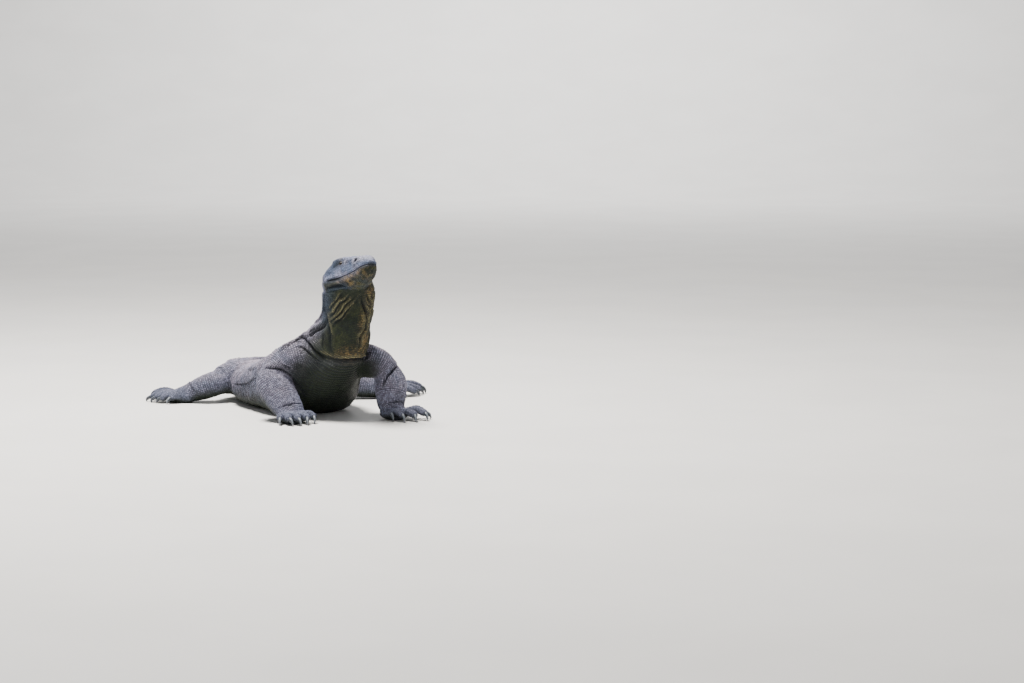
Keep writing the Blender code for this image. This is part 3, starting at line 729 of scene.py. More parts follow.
def eye_frame(sign):
    """Centre of an eye, the way it looks, and forward and up across its opening."""
    forward, _, top = head_axes()
    look = unit(np.array([0.28, sign * 1.0, 0.30]) @ head_axes())
    ahead = unit(np.cross(top, look))
    ahead = ahead * np.sign(ahead @ forward)
    up = np.cross(look, ahead)
    return on_head(EYE_AT[0], sign * EYE_AT[1], EYE_AT[2]), look, ahead, up * np.sign(up @ top)


def head_relief(points):
    """Bones, lips and hollows of the head, in the head's own frame.

    Returns the rise along the normal, the painted shade of hollows and where no scale grows.
    """
    ahead, aside, above = in_head(points)
    side = np.abs(aside)
    here = np.stack([ahead, side, above])
    on = ramp(-0.035, 0.0, ahead) * (np.abs(above) < 0.075) * (side < 0.085)

    rise = sum(1e-3 * height * spot(here, *form) for height, *form in HEAD_FORMS)
    for height, reach, start, end in RIDGES:
        start, run = 1e-3 * np.array(start)[:, None], 1e-3 * np.subtract(end, start)[:, None]
        share = np.clip((ahead - start[0]) / run[0], 0, 1)
        rise += 1e-3 * height * bell(np.linalg.norm(here - start - share * run, axis=0) / (1e-3 * reach))
    rise -= 0.0024 * spot((side, above), 0, 9, 55, 30) * ramp(0.04, 0.09, ahead)
    rise += 0.0009 * wobble(points, 0.011, 22) * ramp(0.10, 0.14, ahead) * (above > -0.01)
    # painted shade in the hollow behind the eye
    dark = 0.55 * spot(here, 94, 16, 58, 20, 36, 9)

    lift = above - lip_height(ahead)
    chin = ramp(0.008, 0.020, -lift) * ramp(0.085, 0.125, ahead)
    rise += chin * (0.0016 * wobble(points, 0.013, 23) + 0.0014 * wobble(points, 0.007, 24))
    lips = ramp(MOUTH_CORNER - 0.012, MOUTH_CORNER + 0.012, ahead)
    back = 1 - ramp(0.085, 0.125, ahead)
    front = ramp(0.19, 0.23, ahead)
    rise -= lips * (0.0028 + 0.0044 * back) * bell(lift / (0.0017 + 0.0022 * back))
    rise += lips * 0.0022 * bell((lift - 0.0068) / 0.0042)
    rise += lips * 0.0014 * bell((lift + 0.0070) / 0.0042) * (1 - 0.5 * front)
    # painted shade along the mouth's line
    dark += lips * bell((lift + 0.0010) / (0.0015 + 0.0032 * back))
    bare = lips * (np.abs(lift) < 0.0010 + 0.0014 * back)

    for opening in OPENINGS:
        for sign in (1, -1):
            place = on_head(opening.place[0], sign * opening.place[1], opening.place[2])
            offset = (points - place) @ head_axes().T
            ratio = np.hypot(offset[:, ::2] @ opening.long_way, offset[:, ::2] @ opening.cross_way)
            near = np.abs(offset[:, 1]) < opening.reach
            hole = near * (1 - ramp(opening.inner, 1.15, ratio))
            rise += near * opening.rim * bell((ratio - opening.rim_at) / opening.rim_wide)
            rise -= hole * opening.depth
            # painted shade in the nostrils and ears
            dark += hole * opening.dark
            bare = bare + near * (ratio < opening.bare)
    return rise * on, dark * on, bare * on


def lids(points, settings):
    """Wraps the skin round each eyeball: outside the opening it lies a lid's thickness
    over the ball, and inside it sinks behind the ball. Returns points, painted shade and bare."""
    dark, bare = np.zeros((2, len(points)))
    radius = settings.eye_radius
    for sign in (1, -1):
        centre, look, ahead, up = eye_frame(sign)
        offset = points - centre
        out, run, rise = offset @ look, offset @ ahead, offset @ up
        spread = np.hypot(run, rise)
        near = (spread < 3.2 * radius) & (out > -0.6 * radius)
        opening = np.hypot(run / (EYE_OPENING[0] * radius), rise / (EYE_OPENING[1] * radius))
        wish = np.sqrt(np.maximum((radius + settings.lid_thickness) ** 2 - spread**2, 0))
        lift = np.maximum(wish - out, 0) * near * (1 - ramp(1.0 * radius, 2.0 * radius, spread))
        rings = 0.0006 * pleats(opening * 1.9) * near * ramp(1.1, 1.5, opening)
        sunk = near * (1 - ramp(0.86, 1.06, opening))
        move = lift * (1 - sunk) + rings * (1 - ramp(2.2, 3.4, opening))
        move += 0.0012 * bell((opening - 1.18) / 0.16) * near - sunk * (out + 0.1 * radius)
        points = points + look * move[:, None]
        # painted shade inside the opening and in a ring round it
        dark += near * (1 - ramp(0.9, 1.25, opening))
        dark += 0.35 * near * bell((opening - 1.9) / 0.5)
        bare += near * (opening < 1.12)
    return points, dark, bare


def fold_lines(tree):
    """Each fold as closely spaced points on the skin, its mirrored copy included."""
    for fold in FOLDS:
        sides = [np.array(fold.points)]
        if fold.mirror is not None:
            sides.append(sides[0] * (-1, 1, 1) + (2 * fold.mirror, 0, 0))
        for points in sides:
            line = through(points, 10)
            step = np.linspace(0, 1, len(line))
            sway = wobble(line, 0.045, 7)[:, None] * unit(np.gradient(line, axis=0))[:, [1, 2, 0]]
            line = line + 0.0026 * sway + 0.0008 * wobble(line, 0.014, 8)[:, None]
            line = np.array([tree.find_nearest(Vector(point))[0] for point in line])
            yield fold, line, np.sin(math.pi * np.clip(step, 0.02, 0.98)) ** 0.5


def fold_relief(points, tree):
    """Every fold pressed in as a bell across its line, with a roll on either side.

    Returns the rise, the painted shade in the folds and the paleness of the rolls, partly a painted
    highlight.
    """
    rise, dark, pale = np.zeros((3, len(points)))
    for fold, line, strength in fold_lines(tree):
        margin = 5 * fold.width
        low, high = line.min(0) - margin, line.max(0) + margin
        near = np.nonzero(((points > low) & (points < high)).all(1))[0]
        gap = np.linalg.norm(points[near, None] - line[None], axis=2)
        nearest = gap.argmin(1)
        across = gap[np.arange(len(near)), nearest]
        power = strength[nearest]
        width = fold.width * (0.85 + 0.25 * wobble(points[near], 0.05, 11))
        valley = bell(across / width) * power
        roll = bell((across - 2.3 * width) / (1.15 * width)) * power
        higher = (points[near] - line[nearest])[:, 2]
        roll = roll * (1 + 0.45 * np.tanh(higher / fold.width))
        rise[near] += roll * fold.roll - valley * fold.depth
        # painted shade in the fold's valley
        shadow = bell(across / (0.85 * width)) * power * min(1, fold.depth / 0.006)
        dark[near] = np.maximum(dark[near], shadow)
        # pale rolls, stronger on their upper side: partly paler skin, partly painted highlight
        pale[near] = np.maximum(pale[near], roll * min(1, fold.roll / 0.004))
    return rise, dark, pale


def joint_bells(at, tube, *places):
    """Bells along a tube about the given shares of its length."""
    share = at / (len(tube.reach) - 1)
    return sum(bell((share - place) / width) for place, width in places)


def tube_relief(points, owner, at, angle, tubes):
    """Wrinkles that follow the tubes: pleats round joints and digits, long pleats down
    the throat, waves behind the arms and rings on the tail."""
    rise = np.zeros(len(points))
    for number, tube in enumerate(tubes):
        mine = owner == number
        if not mine.any():
            continue
        where_at, turn, where = at[mine], angle[mine], points[mine]
        reach = rows_at(where_at, tube.reach)
        uneven = wobble(where, 0.030, 3 + number)
        if tube.name == "body":
            station = where_at / BODY_STEPS - DOME_ROWS
            under = ramp(0.25, 0.95, -np.sin(turn))
            neck = 1 - ramp(3.6, 4.4, station)
            girth = rows_at(where_at, tube.wide)
            long_ways = pleats(turn * girth / 0.012 + 0.9 * uneven)
            add = 0.0021 * neck * (0.35 + 0.65 * under) * long_ways
            round_ways = pleats(reach / 0.017 + 0.8 * uneven + 0.7 * np.sin(2 * turn))
            add += 0.0017 * neck * (1 - under) * round_ways
            trunk = ramp(4.2, 5.0, station) * (1 - ramp(9.0, 10.0, station))
            flank = bell(np.sin(turn) / 0.75) * trunk
            add += 0.0026 * flank * pleats(reach / 0.046 + 0.6 * uneven)
            add += 0.0010 * flank * pleats(reach / 0.019 + 0.7 * uneven)
            add -= 0.0030 * trunk * bell((turn - math.pi / 2) / 0.12)
            tail = ramp(10.0, 11.0, station)
            add += 0.0008 * tail * pleats(reach / 0.021)
        elif "digit" in tube.name:
            add = 0.0011 * pleats(reach / 0.0105 + 0.2 * uneven) * ramp(-0.3, 0.3, np.sin(turn))
            add += 0.0016 * joint_bells(where_at, tube, (0.42, 0.10), (0.72, 0.08))
        elif "forearm" in tube.name:
            wrist = joint_bells(where_at, tube, (0.97, 0.14))
            add = 0.0018 * wrist * pleats(reach / 0.011 + 0.7 * uneven)
            add += 0.0007 * pleats(reach / 0.0145 + 0.5 * uneven) * (1 - wrist)
            elbow = joint_bells(where_at, tube, (0.12, 0.16))
            add += 0.0016 * elbow * pleats(reach / 0.012 + 0.7 * uneven)
        elif "shank" in tube.name:
            ankle = joint_bells(where_at, tube, (0.86, 0.16))
            add = 0.0018 * ankle * pleats(reach / 0.011 + 0.9 * uneven)
        elif "upper_arm" in tube.name:
            add = 0.0018 * pleats(reach / 0.019 + 0.9 * uneven)
            add += 0.0010 * pleats(turn * 0.060 / 0.017 + 0.8 * uneven)
        elif "thigh" in tube.name:
            add = 0.0016 * pleats(reach / 0.026 + 0.9 * uneven)
        elif tube.name == "head":
            add = 0.0006 * uneven
        else:
            add = 0.0010 * pleats(reach / 0.012 + 0.7 * uneven)
        rise[mine] += add
    return rise


def markings(points, normals, owner, at, angle, tubes):
    """Shares of each hide colour, from where a point lies and which way it faces: throat,
    its olive partly painted shade, underside, partly painted shade, head and paws, ochre
    skin with a painted sunlit patch, dark blue patches of painted shade, pale ones, and
    dust with painted top light and sunlight."""
    names = np.array([tube.name for tube in tubes])[owner]
    forearm, thigh, shank, hand, foot, upper_arm = (
        np.char.startswith(names, start)
        for start in ("forearm", "thigh", "shank", "hand", "foot", "upper_arm"))
    station = np.where(owner == 0, at / BODY_STEPS - DOME_ROWS, OFF_BODY)
    x, y, z = points.T
    low = ramp(-0.25, 0.40, -np.sin(angle))
    ahead, aside, above = in_head(points)
    side, drop = np.abs(aside), lip_height(ahead) - above
    here = (ahead, side, above)
    head = owner == 1
    jaw = head * ramp(0.000, 0.006, drop) * ramp(-0.012, 0.012, ahead)
    lip = ramp(0.002, 0.005, drop) * (1 - ramp(0.011, 0.017, drop))
    lip = lip * ramp(0.075, 0.100, ahead) * (1 - ramp(0.185, 0.220, ahead))
    strip = spot([drop], 12, 3.5) * ramp(0.020, 0.045, ahead) * (1 - ramp(0.09, 0.115, ahead))
    front = ramp(0.20, 0.75, -normals[:, 1]) * (station < 6.5)
    # the throat's olive, partly painted shade: it covers forward-facing skin and is carried up the
    # neck's lower sides
    throat = (station < 4.9) * np.maximum(low, front) * ramp(0.205, 0.235, z)
    throat = np.maximum(throat, jaw)
    # underside share on downward-facing skin and the forward-facing chest under the neck: partly the
    # belly's own dark colour, partly painted shade
    down = np.where((station > 4.6) & (station < 10), ramp(-0.10, 0.40, -normals[:, 2]),
                    ramp(0.05, 0.65, -normals[:, 2]))
    chest = ramp(0.05, 0.55, -normals[:, 1]) * (1 - ramp(0.215, 0.240, z)) * (y < -0.1)
    chest = chest * (1 - ramp(0.125, 0.190, np.abs(x))) * ((owner == 0) | upper_arm)
    # painted shade: a dark blue band down each side of the neck
    nape = bell((np.sin(angle) + 0.04) / 0.38) * (1 - ramp(2.6, 3.6, station))
    tan = front * np.max([share * spot((x, z), *form) for share, *form in TAN_PATCHES], 0)
    # painted sunlight: a bright ochre patch above the gular fold
    gular = spot((x, y, z), 25, 45, -375, 40, 250, 18)
    patchy = ramp(-0.35, 0.45, wobble(points, 0.016, 31) + 0.6 * wobble(points, 0.007, 32))
    orange = spot((ahead, drop), 140, 30, 28, 16) * ramp(0.008, 0.020, side)
    orange = np.maximum(orange, 0.55 * spot((ahead, drop), 205, 30, 30, 22))
    orange = orange * (0.12 + 0.88 * patchy)
    # painted shade on the chin, in patches
    chin_painted_shade = ramp(0.085, 0.115, ahead) * ramp(0.012, 0.022, drop) * (1 - patchy)
    # painted shade under the lip at the jaw's corner
    jowl = ramp(0.000, 0.020, ahead) * (1 - ramp(0.095, 0.125, ahead))
    jowl = jowl * np.maximum(spot([drop], 5, 4), ramp(0.016, 0.024, drop))
    temple, lore, cheek, crown, brow = (spot(here, *form) for form in HEAD_PATCHES)
    snout = head * ramp(0.160, 0.200, ahead) * ramp(0.004, 0.020, above)
    paw = hand | foot
    # paler on upward-facing skin: dust and painted top light
    dusty = ramp(0.15, 0.90, normals[:, 2]) * ~head * (1 - 0.5 * paw)
    # painted sunlight: a lit patch on the front of each forearm
    sunlit_patch = bell((z - 0.128) / 0.030) * ramp(0.3, 0.9, -normals[:, 1])
    # painted shade: the temple, lore and cheek patches, the jaw's corner and the chin
    blue = temple * 1.8 + 0.40 * lore + 0.35 * cheek + 0.85 * jowl + 0.60 * chin_painted_shade
    pale = 0.16 * lip + 0.14 * strip + crown + 0.8 * brow
    fields = {
        "throat": throat * (1 - 0.75 * lip * head),
        # partly painted shade
        "under": np.maximum(down, chest) * ~head,
        "head": np.where(head, 1 - jaw, (station < 2.5) * ramp(-0.045, -0.010, above))
        * ramp(-0.055, 0.035, ahead),
        # paw colour, also laid at 0.60 over forearms, shanks and thighs: partly their own blue grey,
        # partly painted shade
        "paw": paw + 0.60 * (forearm | shank | thigh),
        "warm": tan + 1.4 * gular * (0.35 + 0.65 * patchy)
        + head * (0.55 * lip + 0.72 * orange + 0.06 * jaw),
        # painted shade in dark blue, on the head and down the neck's sides
        "shade": head * blue + 0.95 * nape,
        "lift": 0.75 * snout + head * pale,
        # dust with painted top light, and the painted sunlit patch of the forearms
        "dusty": np.maximum(dusty, 0.9 * sunlit_patch * forearm),
    }
    return {name: np.clip(values, 0, 1) for name, values in fields.items()}


def assign(points, tubes):
    """For each point the tube whose surface it lies on, its ring number and its angle."""
    best = np.full(len(points), 1e9)
    owner = np.zeros(len(points), int)
    at = np.zeros(len(points))
    angle = np.zeros(len(points))
    for number, tube in enumerate(tubes):
        margin = max(tube.wide.max(), tube.rise.max(), tube.drop.max()) + 0.02
        low, high = tube.centre.min(0) - margin, tube.centre.max(0) + margin
        near = np.nonzero(((points > low) & (points < high)).all(1))[0]
        spot, turn, level = find_on_tube(tube, points[near])
        closer = level < best[near]
        pick = near[closer]
        best[pick], owner[pick] = level[closer], number
        at[pick], angle[pick] = spot[closer], turn[closer]
    return owner, at, angle


def flesh_union(tubes, settings):
    """All tubes drawn in by the coat's depth, joined and remeshed as one closed skin."""
    points, faces, start = [], [], 0
    for tube in tubes:
        rings, sides = len(tube.reach), 64 if tube.name in ("body", "head") else 28
        at, angle = np.meshgrid(np.arange(rings), turns(sides), indexing="ij")
        ring = on_tube(tube, at, angle, settings.coat_depth).reshape(-1, 3)
        points += [ring, ring[:sides].mean(0)[None], ring[-sides:].mean(0)[None]]
        faces += grid_faces(rings, sides, start).tolist() + fans(rings, sides, start).tolist()
        start += rings * sides + 2
    mesh = bpy.data.meshes.new("flesh")
    mesh.from_pydata(np.concatenate(points), [], faces)
    mesh.validate()
    obj = add_object("flesh", mesh)
    step = obj.modifiers.new("union", "REMESH")
    step.mode = "VOXEL"
    step.voxel_size = settings.voxel
    mesh = fresh_mesh(obj)
    bpy.data.objects.remove(obj)
    return mesh


def refine(mesh):
    """Splits the faces about the eyes, nostrils, ears and lips, where the forms are small."""
    tool = bmesh.new()
    tool.from_mesh(mesh)
    points = read(mesh)
    ahead, aside, above = in_head(points)
    side = np.abs(aside)
    close = (np.abs(above - lip_height(ahead)) < 0.009) & (ahead > 0.025) & (side < 0.08)
    for place, reach in ((EYE_AT, 0.026), (NOSTRIL_AT, 0.015), (EAR_AT, 0.017)):
        gap = (ahead - place[0]) ** 2 + (side - place[1]) ** 2 + (above - place[2]) ** 2
        close |= gap < reach**2
    x, y, z = points.T
    close |= (y < -0.335) & (z > 0.25) & (z < 0.50) & (x < 0.11)
    edges = [edge for edge in tool.edges if all(close[end.index] for end in edge.verts)]
    bmesh.ops.subdivide_edges(tool, edges=edges, cuts=1, use_grid_fill=True)
    tool.to_mesh(mesh)
    tool.free()


def make_skin(settings):
    """The whole skin: union, fillets, swellings, folds, wrinkles, head and lids."""
    tubes = all_tubes()
    mesh = flesh_union(tubes, settings)
    edges = read(mesh, "edges", "vertices", 2, np.int32)
    points = settle(read(mesh), edges, 4, 0.5, 0.52)
    away, fillets = off_digits(points), settings.fillet_rounds
    points = fill_hollows(mesh, points, edges, fillets // 4, np.ones(len(points)))
    points = fill_hollows(mesh, points, edges, 3 * fillets // 4, away)
    collar = bell((points[:, 1] + 0.34) / 0.16, (points[:, 2] - 0.495) / 0.050)
    points = fill_hollows(mesh, points, edges, settings.collar_rounds, collar)
    points = soften(points, edges, SHELF_ROUNDS, 0.6 * mound(points, *SHELF)[:, None])
    shape_mesh(mesh, settle(points, edges, 3, 0.5, 0.52))
    refine(mesh)
    edges = read(mesh, "edges", "vertices", 2, np.int32)
    points = bare_shape = settle(read(mesh), edges, 2, 0.5, 0.52)
    normal = shape_mesh(mesh, points)
    owner, at, angle = assign(points, tubes)

    rise = sum(height * mound(points, centre, reach) for centre, reach, height in SWELLS)
    rise += tube_relief(points, owner, at, angle, tubes) * settings.wrinkle
    rise += 0.0012 * wobble(points, 0.060, 1) + 0.0004 * wobble(points, 0.018, 2)
    head_rise, head_dark, bare = head_relief(points)
    fold_rise, dark, pale = fold_relief(points, tree_of(mesh))
    points = points + normal * (rise + head_rise + fold_rise)[:, None]
    shape_mesh(mesh, points)
    points, lid_dark, lid_bare = lids(points, settings)
    points = settle(points, edges, 1, 0.35, 0.30)
    points[:, 2] = np.maximum(points[:, 2], SKIN_FLOOR)
    fields = markings(points, shape_mesh(mesh, points), owner, at, angle, tubes)
    # painted shade of folds, hollows, the mouth, nostrils, ears and eye openings
    fields["dark"] = np.clip(dark + head_dark + lid_dark, 0, 1)
    forward = ramp(0.330, 0.350, -points[:, 1])
    # pale rolls: partly paler skin, partly painted highlight
    fields["pale"] = np.clip(pale * (1 - dark) * np.where(owner == 1, 0.25, forward), 0, 1)
    fields["bare"] = np.clip(bare + lid_bare, 0, 1)
    for name, rounds in SOFT_ROUNDS.items():
        fields[name] = soften(fields[name], edges, rounds)
    for name, values in fields.items():
        put_field(mesh, name, values)
    shape = mesh.attributes.new("bare_shape", "FLOAT_VECTOR", "POINT")
    shape.data.foreach_set("vector", bare_shape.astype(np.float32).ravel())
    keep = np.clip((owner == 1) + fields["dark"] + 0.6 * fields["paw"], 0, 1)
    return thinned(mesh, keep, settings.skin_triangles)


def thinned(mesh, keep, triangles):
    """The skin with its triangles cut down to a number, least where `keep` is high."""
    skin = add_object("skin", mesh)
    group = skin.vertex_groups.new(name="thin")
    for weight, mask in ((1.0, keep < 0.3), (0.45, (keep >= 0.3) & (keep < 0.8)), (0.12, keep >= 0.8)):
        group.add(np.nonzero(mask)[0].tolist(), weight, "REPLACE")
    step = skin.modifiers.new("thin", "DECIMATE")
    step.vertex_group = "thin"
    step.use_collapse_triangulate = True
    step.ratio = min(1.0, triangles / sum(len(face.vertices) - 2 for face in mesh.polygons))
    thin = fresh_mesh(skin)
    skin.modifiers.remove(step)
    skin.vertex_groups.clear()
    skin.data = thin
    bpy.data.meshes.remove(mesh)
    thin.name = "skin"
    skin.data.shade_smooth()
    return skin


def tree_of(mesh):
    """A search tree over a mesh's faces."""
    points = [tuple(point) for point in read(mesh)]
    return BVHTree.FromPolygons(points, [tuple(face.vertices) for face in mesh.polygons])


# ---------------------------------------------------------------- scales

HIDE_FIELDS = (
    "throat", "under", "head", "paw", "dark", "pale", "warm", "shade", "lift", "dusty",
)


def rows_on(tube, span, sector, along, across, loose, rng):
    """Staggered rows of roots on a tube: rows `along` apart over the span of its surface,
    and in each row roots `across` apart by arc length within the sector of angles."""
    girth = (tube.wide + tube.rise + tube.drop) / 3
    run = np.r_[0, np.cumsum(np.hypot(np.diff(tube.reach), np.diff(girth)))]
    total = run[-1]
    start, end = span[0] * total, span[1] * total
    count = max(2, int(round((end - start) / along)))
    ring = np.interp(np.linspace(start, end, count), run, np.arange(len(run)))
    fine = np.linspace(sector[0], sector[1], 97)
    ats, angles = [], []
    for row, at in enumerate(ring):
        arc = run_of(on_tube(tube, np.full(len(fine), at), fine))
        number = int(arc[-1] / across)
        if number < 3:
            continue
        spots = (np.arange(number) + 0.5 * (row % 2) + 0.25) * arc[-1] / number
        spots = spots + rng.normal(0, (0.03 + 0.6 * loose) * across, number)
        angles.append(np.interp(spots, arc, fine))
        ats.append(at + rng.normal(0, loose * along / total * len(tube.reach), number))
    return np.concatenate(ats), np.concatenate(angles)


def paced(line, spacing):
    """Points an equal spacing apart along a fine line, and the line's direction at each."""
    reach = run_of(line)
    at = np.interp(np.arange(0.5 * spacing, reach[-1], spacing), reach, np.arange(len(line)))
    return rows_at(at, line), rows_at(at, np.gradient(line, axis=0))


def lip_lines(tube):
    """Lines just above and below the mouth on both sides of the head's tube: its angle is
    the one whose sine, raised to the section's power, gives the line's height."""
    along = (tube.centre - HEAD_AT) @ head_axes()[0]
    ahead = np.linspace(MOUTH_CORNER + 0.006, MOUTH_TIP - 0.0025, 300)
    at = np.interp(ahead, along, np.arange(len(along)))
    for gap in (0.0042, -0.0040):
        level = np.minimum(lip_height(ahead) + gap, -0.0004)
        sine = np.minimum(-level / rows_at(at, tube.drop), 1) ** (1 / rows_at(at, tube.lower))
        for angle in (-np.arcsin(sine), math.pi + np.arcsin(sine)):
            yield on_tube(tube, at, angle)


def eye_lines(settings):
    """Rings round the eyes' openings, each an ellipse across the way the eye looks."""
    turn = np.linspace(0, 2 * math.pi, 160)[:, None]
    for sign in (1, -1):
        centre, look, ahead, up = eye_frame(sign)
        for ring in (1.34, 1.66, 2.00):
            wide, high = EYE_OPENING[0] * ring * np.cos(turn), EYE_OPENING[1] * ring * np.sin(turn)
            yield centre + settings.eye_radius * (0.6 * look + wide * ahead + high * up)


def off_face_rows(spots, settings):
    """Whether a spot on the head keeps clear of the rows along the lips and round the eyes."""
    ahead, _, above = in_head(spots)
    clear = (np.abs(above - lip_height(ahead)) > 0.0072) | (ahead < MOUTH_CORNER + 0.004)
    for sign in (1, -1):
        centre, look, forward, up = eye_frame(sign)
        offset = (spots - centre) / settings.eye_radius
        opening = np.hypot(offset @ forward / EYE_OPENING[0], offset @ up / EYE_OPENING[1])
        clear &= (opening > 2.15) | (offset @ look < -1)
    return clear


Field = namedtuple("Field", "piece tube span sector along across rise flat")


def scale_fields(settings):
    """Which scales grow where: piece, tube, span of its length, sector of its angles in half
    turns, rows' and roots' spacing in mm, height as a share of width, and flatness."""
    back, belly, throat, nape = (-0.22, 1.22), (1.22, 1.78), (1.05, 1.95), (-0.05, 1.05)
    neck_end, trunk_end = 0.145, 0.405
    whole = (0, 2)
    rows = [
        ("neck", "body", (0.0, 0.052), nape, 4.0, 4.5, 0.32, 0.0),
        ("neck", "body", (0.052, 0.080), nape, 4.7, 5.2, 0.32, 0.0),
        ("neck", "body", (0.080, neck_end), nape, 5.2, 5.8, 0.32, 0.0),
        ("neck", "body", (0.0, neck_end), throat, 4.0, 4.2, 0.28, 0.0),
        ("trunk", "body", (neck_end, trunk_end), back, 6.2, 6.8, 0.30, 0.0),
        ("belly", "body", (neck_end, trunk_end), belly, 8.2, 8.0, 0.14, 1.0),
        ("tail", "body", (trunk_end, 0.62), whole, 6.8, 5.8, 0.26, 0.5),
        ("tail", "body", (0.62, 0.82), whole, 5.6, 4.7, 0.26, 0.5),
        ("tail", "body", (0.82, 0.995), whole, 4.6, 3.6, 0.26, 0.5),
        ("head", "head", (0.0, 0.985), (0.08, 0.92), 3.1, 3.5, 0.24, 0.3),
        ("head", "head", (0.0, 0.985), (0.92, 2.08), 3.0, 3.3, 0.28, 0.2),
    ]
    for name in LIMBS:
        along = 7.0 if "forearm" in name or "shank" in name else 6.0
        rows.append(("arms" if "arm" in name else "legs", name, (0.02, 0.99), whole,
                     along, 6.6, 0.34, 0.1))
    for paw in PAWS:
        rows.append(("paws", paw.name, (0.02, 0.98), (-0.4, 1.4), 4.2, 4.6, 0.30, 0.2))
        rows += [("paws", f"{paw.name}_digit_{number}", (0.1, 0.985), (-0.35, 1.35),
                  3.3, 3.7, 0.26, 0.5) for number in range(1, 6)]
    scale = settings.scale_size * 1e-3
    return [Field("scales_" + piece, tube, span, (sector[0] * math.pi, sector[1] * math.pi),
                  along * scale, across * scale, rise, flat)
            for piece, tube, span, sector, along, across, rise, flat in rows]


def dome(flat):
    """A scale of eighteen triangles: rim, shoulder and crown, 13 points in units of its
    half length, half width and height; the flatter it is, the squarer and lower its crown."""
    round_it = np.stack([np.cos(turns(6)), np.sin(turns(6)), np.ones(6)], 1)
    rim = round_it * (1 + 0.08 * flat, 1 + 0.08 * flat, -0.40)
    shoulder = round_it * (0.68 + 0.14 * flat, 0.68 + 0.14 * flat, 0.66 + 0.15 * flat)
    shoulder[:, 2] -= 0.22 * shoulder[:, 0] * (1 - flat)
    points = np.concatenate([rim, shoulder, [[-0.10, 0, 1.0]]])
    j = np.arange(6)
    k = (j + 1) % 6
    faces = [(j, k, k + 6), (j, k + 6, j + 6), (j + 6, k + 6, np.full(6, 12))]
    crown = np.r_[np.zeros(6), np.full(6, 0.72), 1.0]
    return points, np.concatenate([np.stack(corners, 1) for corners in faces]), crown


def scale_piece(name, batches):
    """Joins batches of domes into one mesh: each dome's points are its root plus its
    template times its own size along the lie, across it and outwards."""
    points, faces, fields, uvs, start = [], [], [], [], 0
    for batch in batches:
        shape, triangles, crown = dome(batch["flat"])
        count, each = len(batch["place"]), len(shape)
        rng = np.random.default_rng(batch["seed"])
        ring = 1 + rng.normal(0, 0.05, (count, each, 1)) * (np.arange(each) < 12)[None, :, None]
        local = shape[None] * np.concatenate([ring, ring, np.ones_like(ring)], 2)
        local = local * (batch["size"] * (1 + rng.normal(0, 0.05, (count, 1))))[:, None]
        spots = batch["place"][:, None] + sum(
            local[..., k : k + 1] * batch[axis][:, None]
            for k, axis in enumerate(("lie", "across", "normal")))
        points.append(spots.reshape(-1, 3))
        faces.append((start + np.arange(count)[:, None, None] * each + triangles).reshape(-1, 3))
        tone = np.repeat(rng.uniform(0, 1, count), each)
        hide = np.repeat(batch["hide"], each, 0)
        fields.append(np.column_stack([np.tile(crown, count), tone, hide]))
        uvs.append((batch["uv"][:, None] + shape[:, :2] * SCALE_PATCH).reshape(-1, 2))
        start += count * each
    points, faces = np.concatenate(points), np.concatenate(faces)
    points[:, 2] = np.maximum(points[:, 2], SCALE_FLOOR)
    obj = mesh_from_arrays(name, points, faces)
    for key, values in zip(("crown", "tone", *HIDE_FIELDS), np.concatenate(fields).T):
        put_field(obj.data, key, values)
    layer = obj.data.uv_layers.new(name="OFBake")
    layer.data.foreach_set("uv", np.concatenate(uvs)[faces.ravel()].astype(np.float32).ravel())
    return obj


def mesh_from_arrays(name, points, faces):
    """A smooth object from arrays of points and triangles, set as whole blocks."""
    mesh = bpy.data.meshes.new(name)
    mesh.vertices.add(len(points))
    mesh.vertices.foreach_set("co", points.astype(np.float32).ravel())
    mesh.loops.add(faces.size)
    mesh.loops.foreach_set("vertex_index", faces.astype(np.int32).ravel())
    mesh.polygons.add(len(faces))
    mesh.polygons.foreach_set("loop_start", np.arange(0, faces.size, faces.shape[1], dtype=np.int32))
    mesh.update(calc_edges=True)
    mesh.shade_smooth()
    return add_object(name, mesh)


class Seats:
    """Finds a root's seat on the skin: the nearest place on the skin's shape before its
    relief, then the same shares of that face's corners on the skin itself."""

    def __init__(self, mesh):
        self.corners = read(mesh, "loops", "vertex_index", 1, np.int32).reshape(-1, 3)
        shape = np.empty(len(mesh.vertices) * 3, np.float32)
        mesh.attributes["bare_shape"].data.foreach_get("vector", shape)
        self.shape = shape.reshape(-1, 3).astype(float)
        self.tree = BVHTree.FromPolygons(self.shape.tolist(), self.corners.tolist())
        self.points = read(mesh)
        self.normals = read(mesh, "vertex_normals", "vector")
        self.hide = np.stack([get_field(mesh, name) for name in (*HIDE_FIELDS, "bare")], 1)

    def find(self, spots):
        """Place, outward direction, hide fields and distance for each spot."""
        hits = [self.tree.find_nearest(Vector(spot)) for spot in spots]
        corner = self.corners[np.array([hit[2] for hit in hits])]
        near = np.array([hit[0][:] for hit in hits])
        a, b, c = (self.shape[corner[:, k]] for k in range(3))
        cross = np.cross(b - a, c - a)
        area = np.maximum((cross**2).sum(1), 1e-24)
        second = (np.cross(near - a, c - a) * cross).sum(1) / area
        third = (np.cross(b - a, near - a) * cross).sum(1) / area
        share = np.clip(np.stack([1 - second - third, second, third], 1), 0, 1)[..., None]
        place, normal, hide = (
            (values[corner] * share).sum(1) for values in (self.points, self.normals, self.hide))
        return place, unit(normal), hide, np.array([hit[3] for hit in hits])


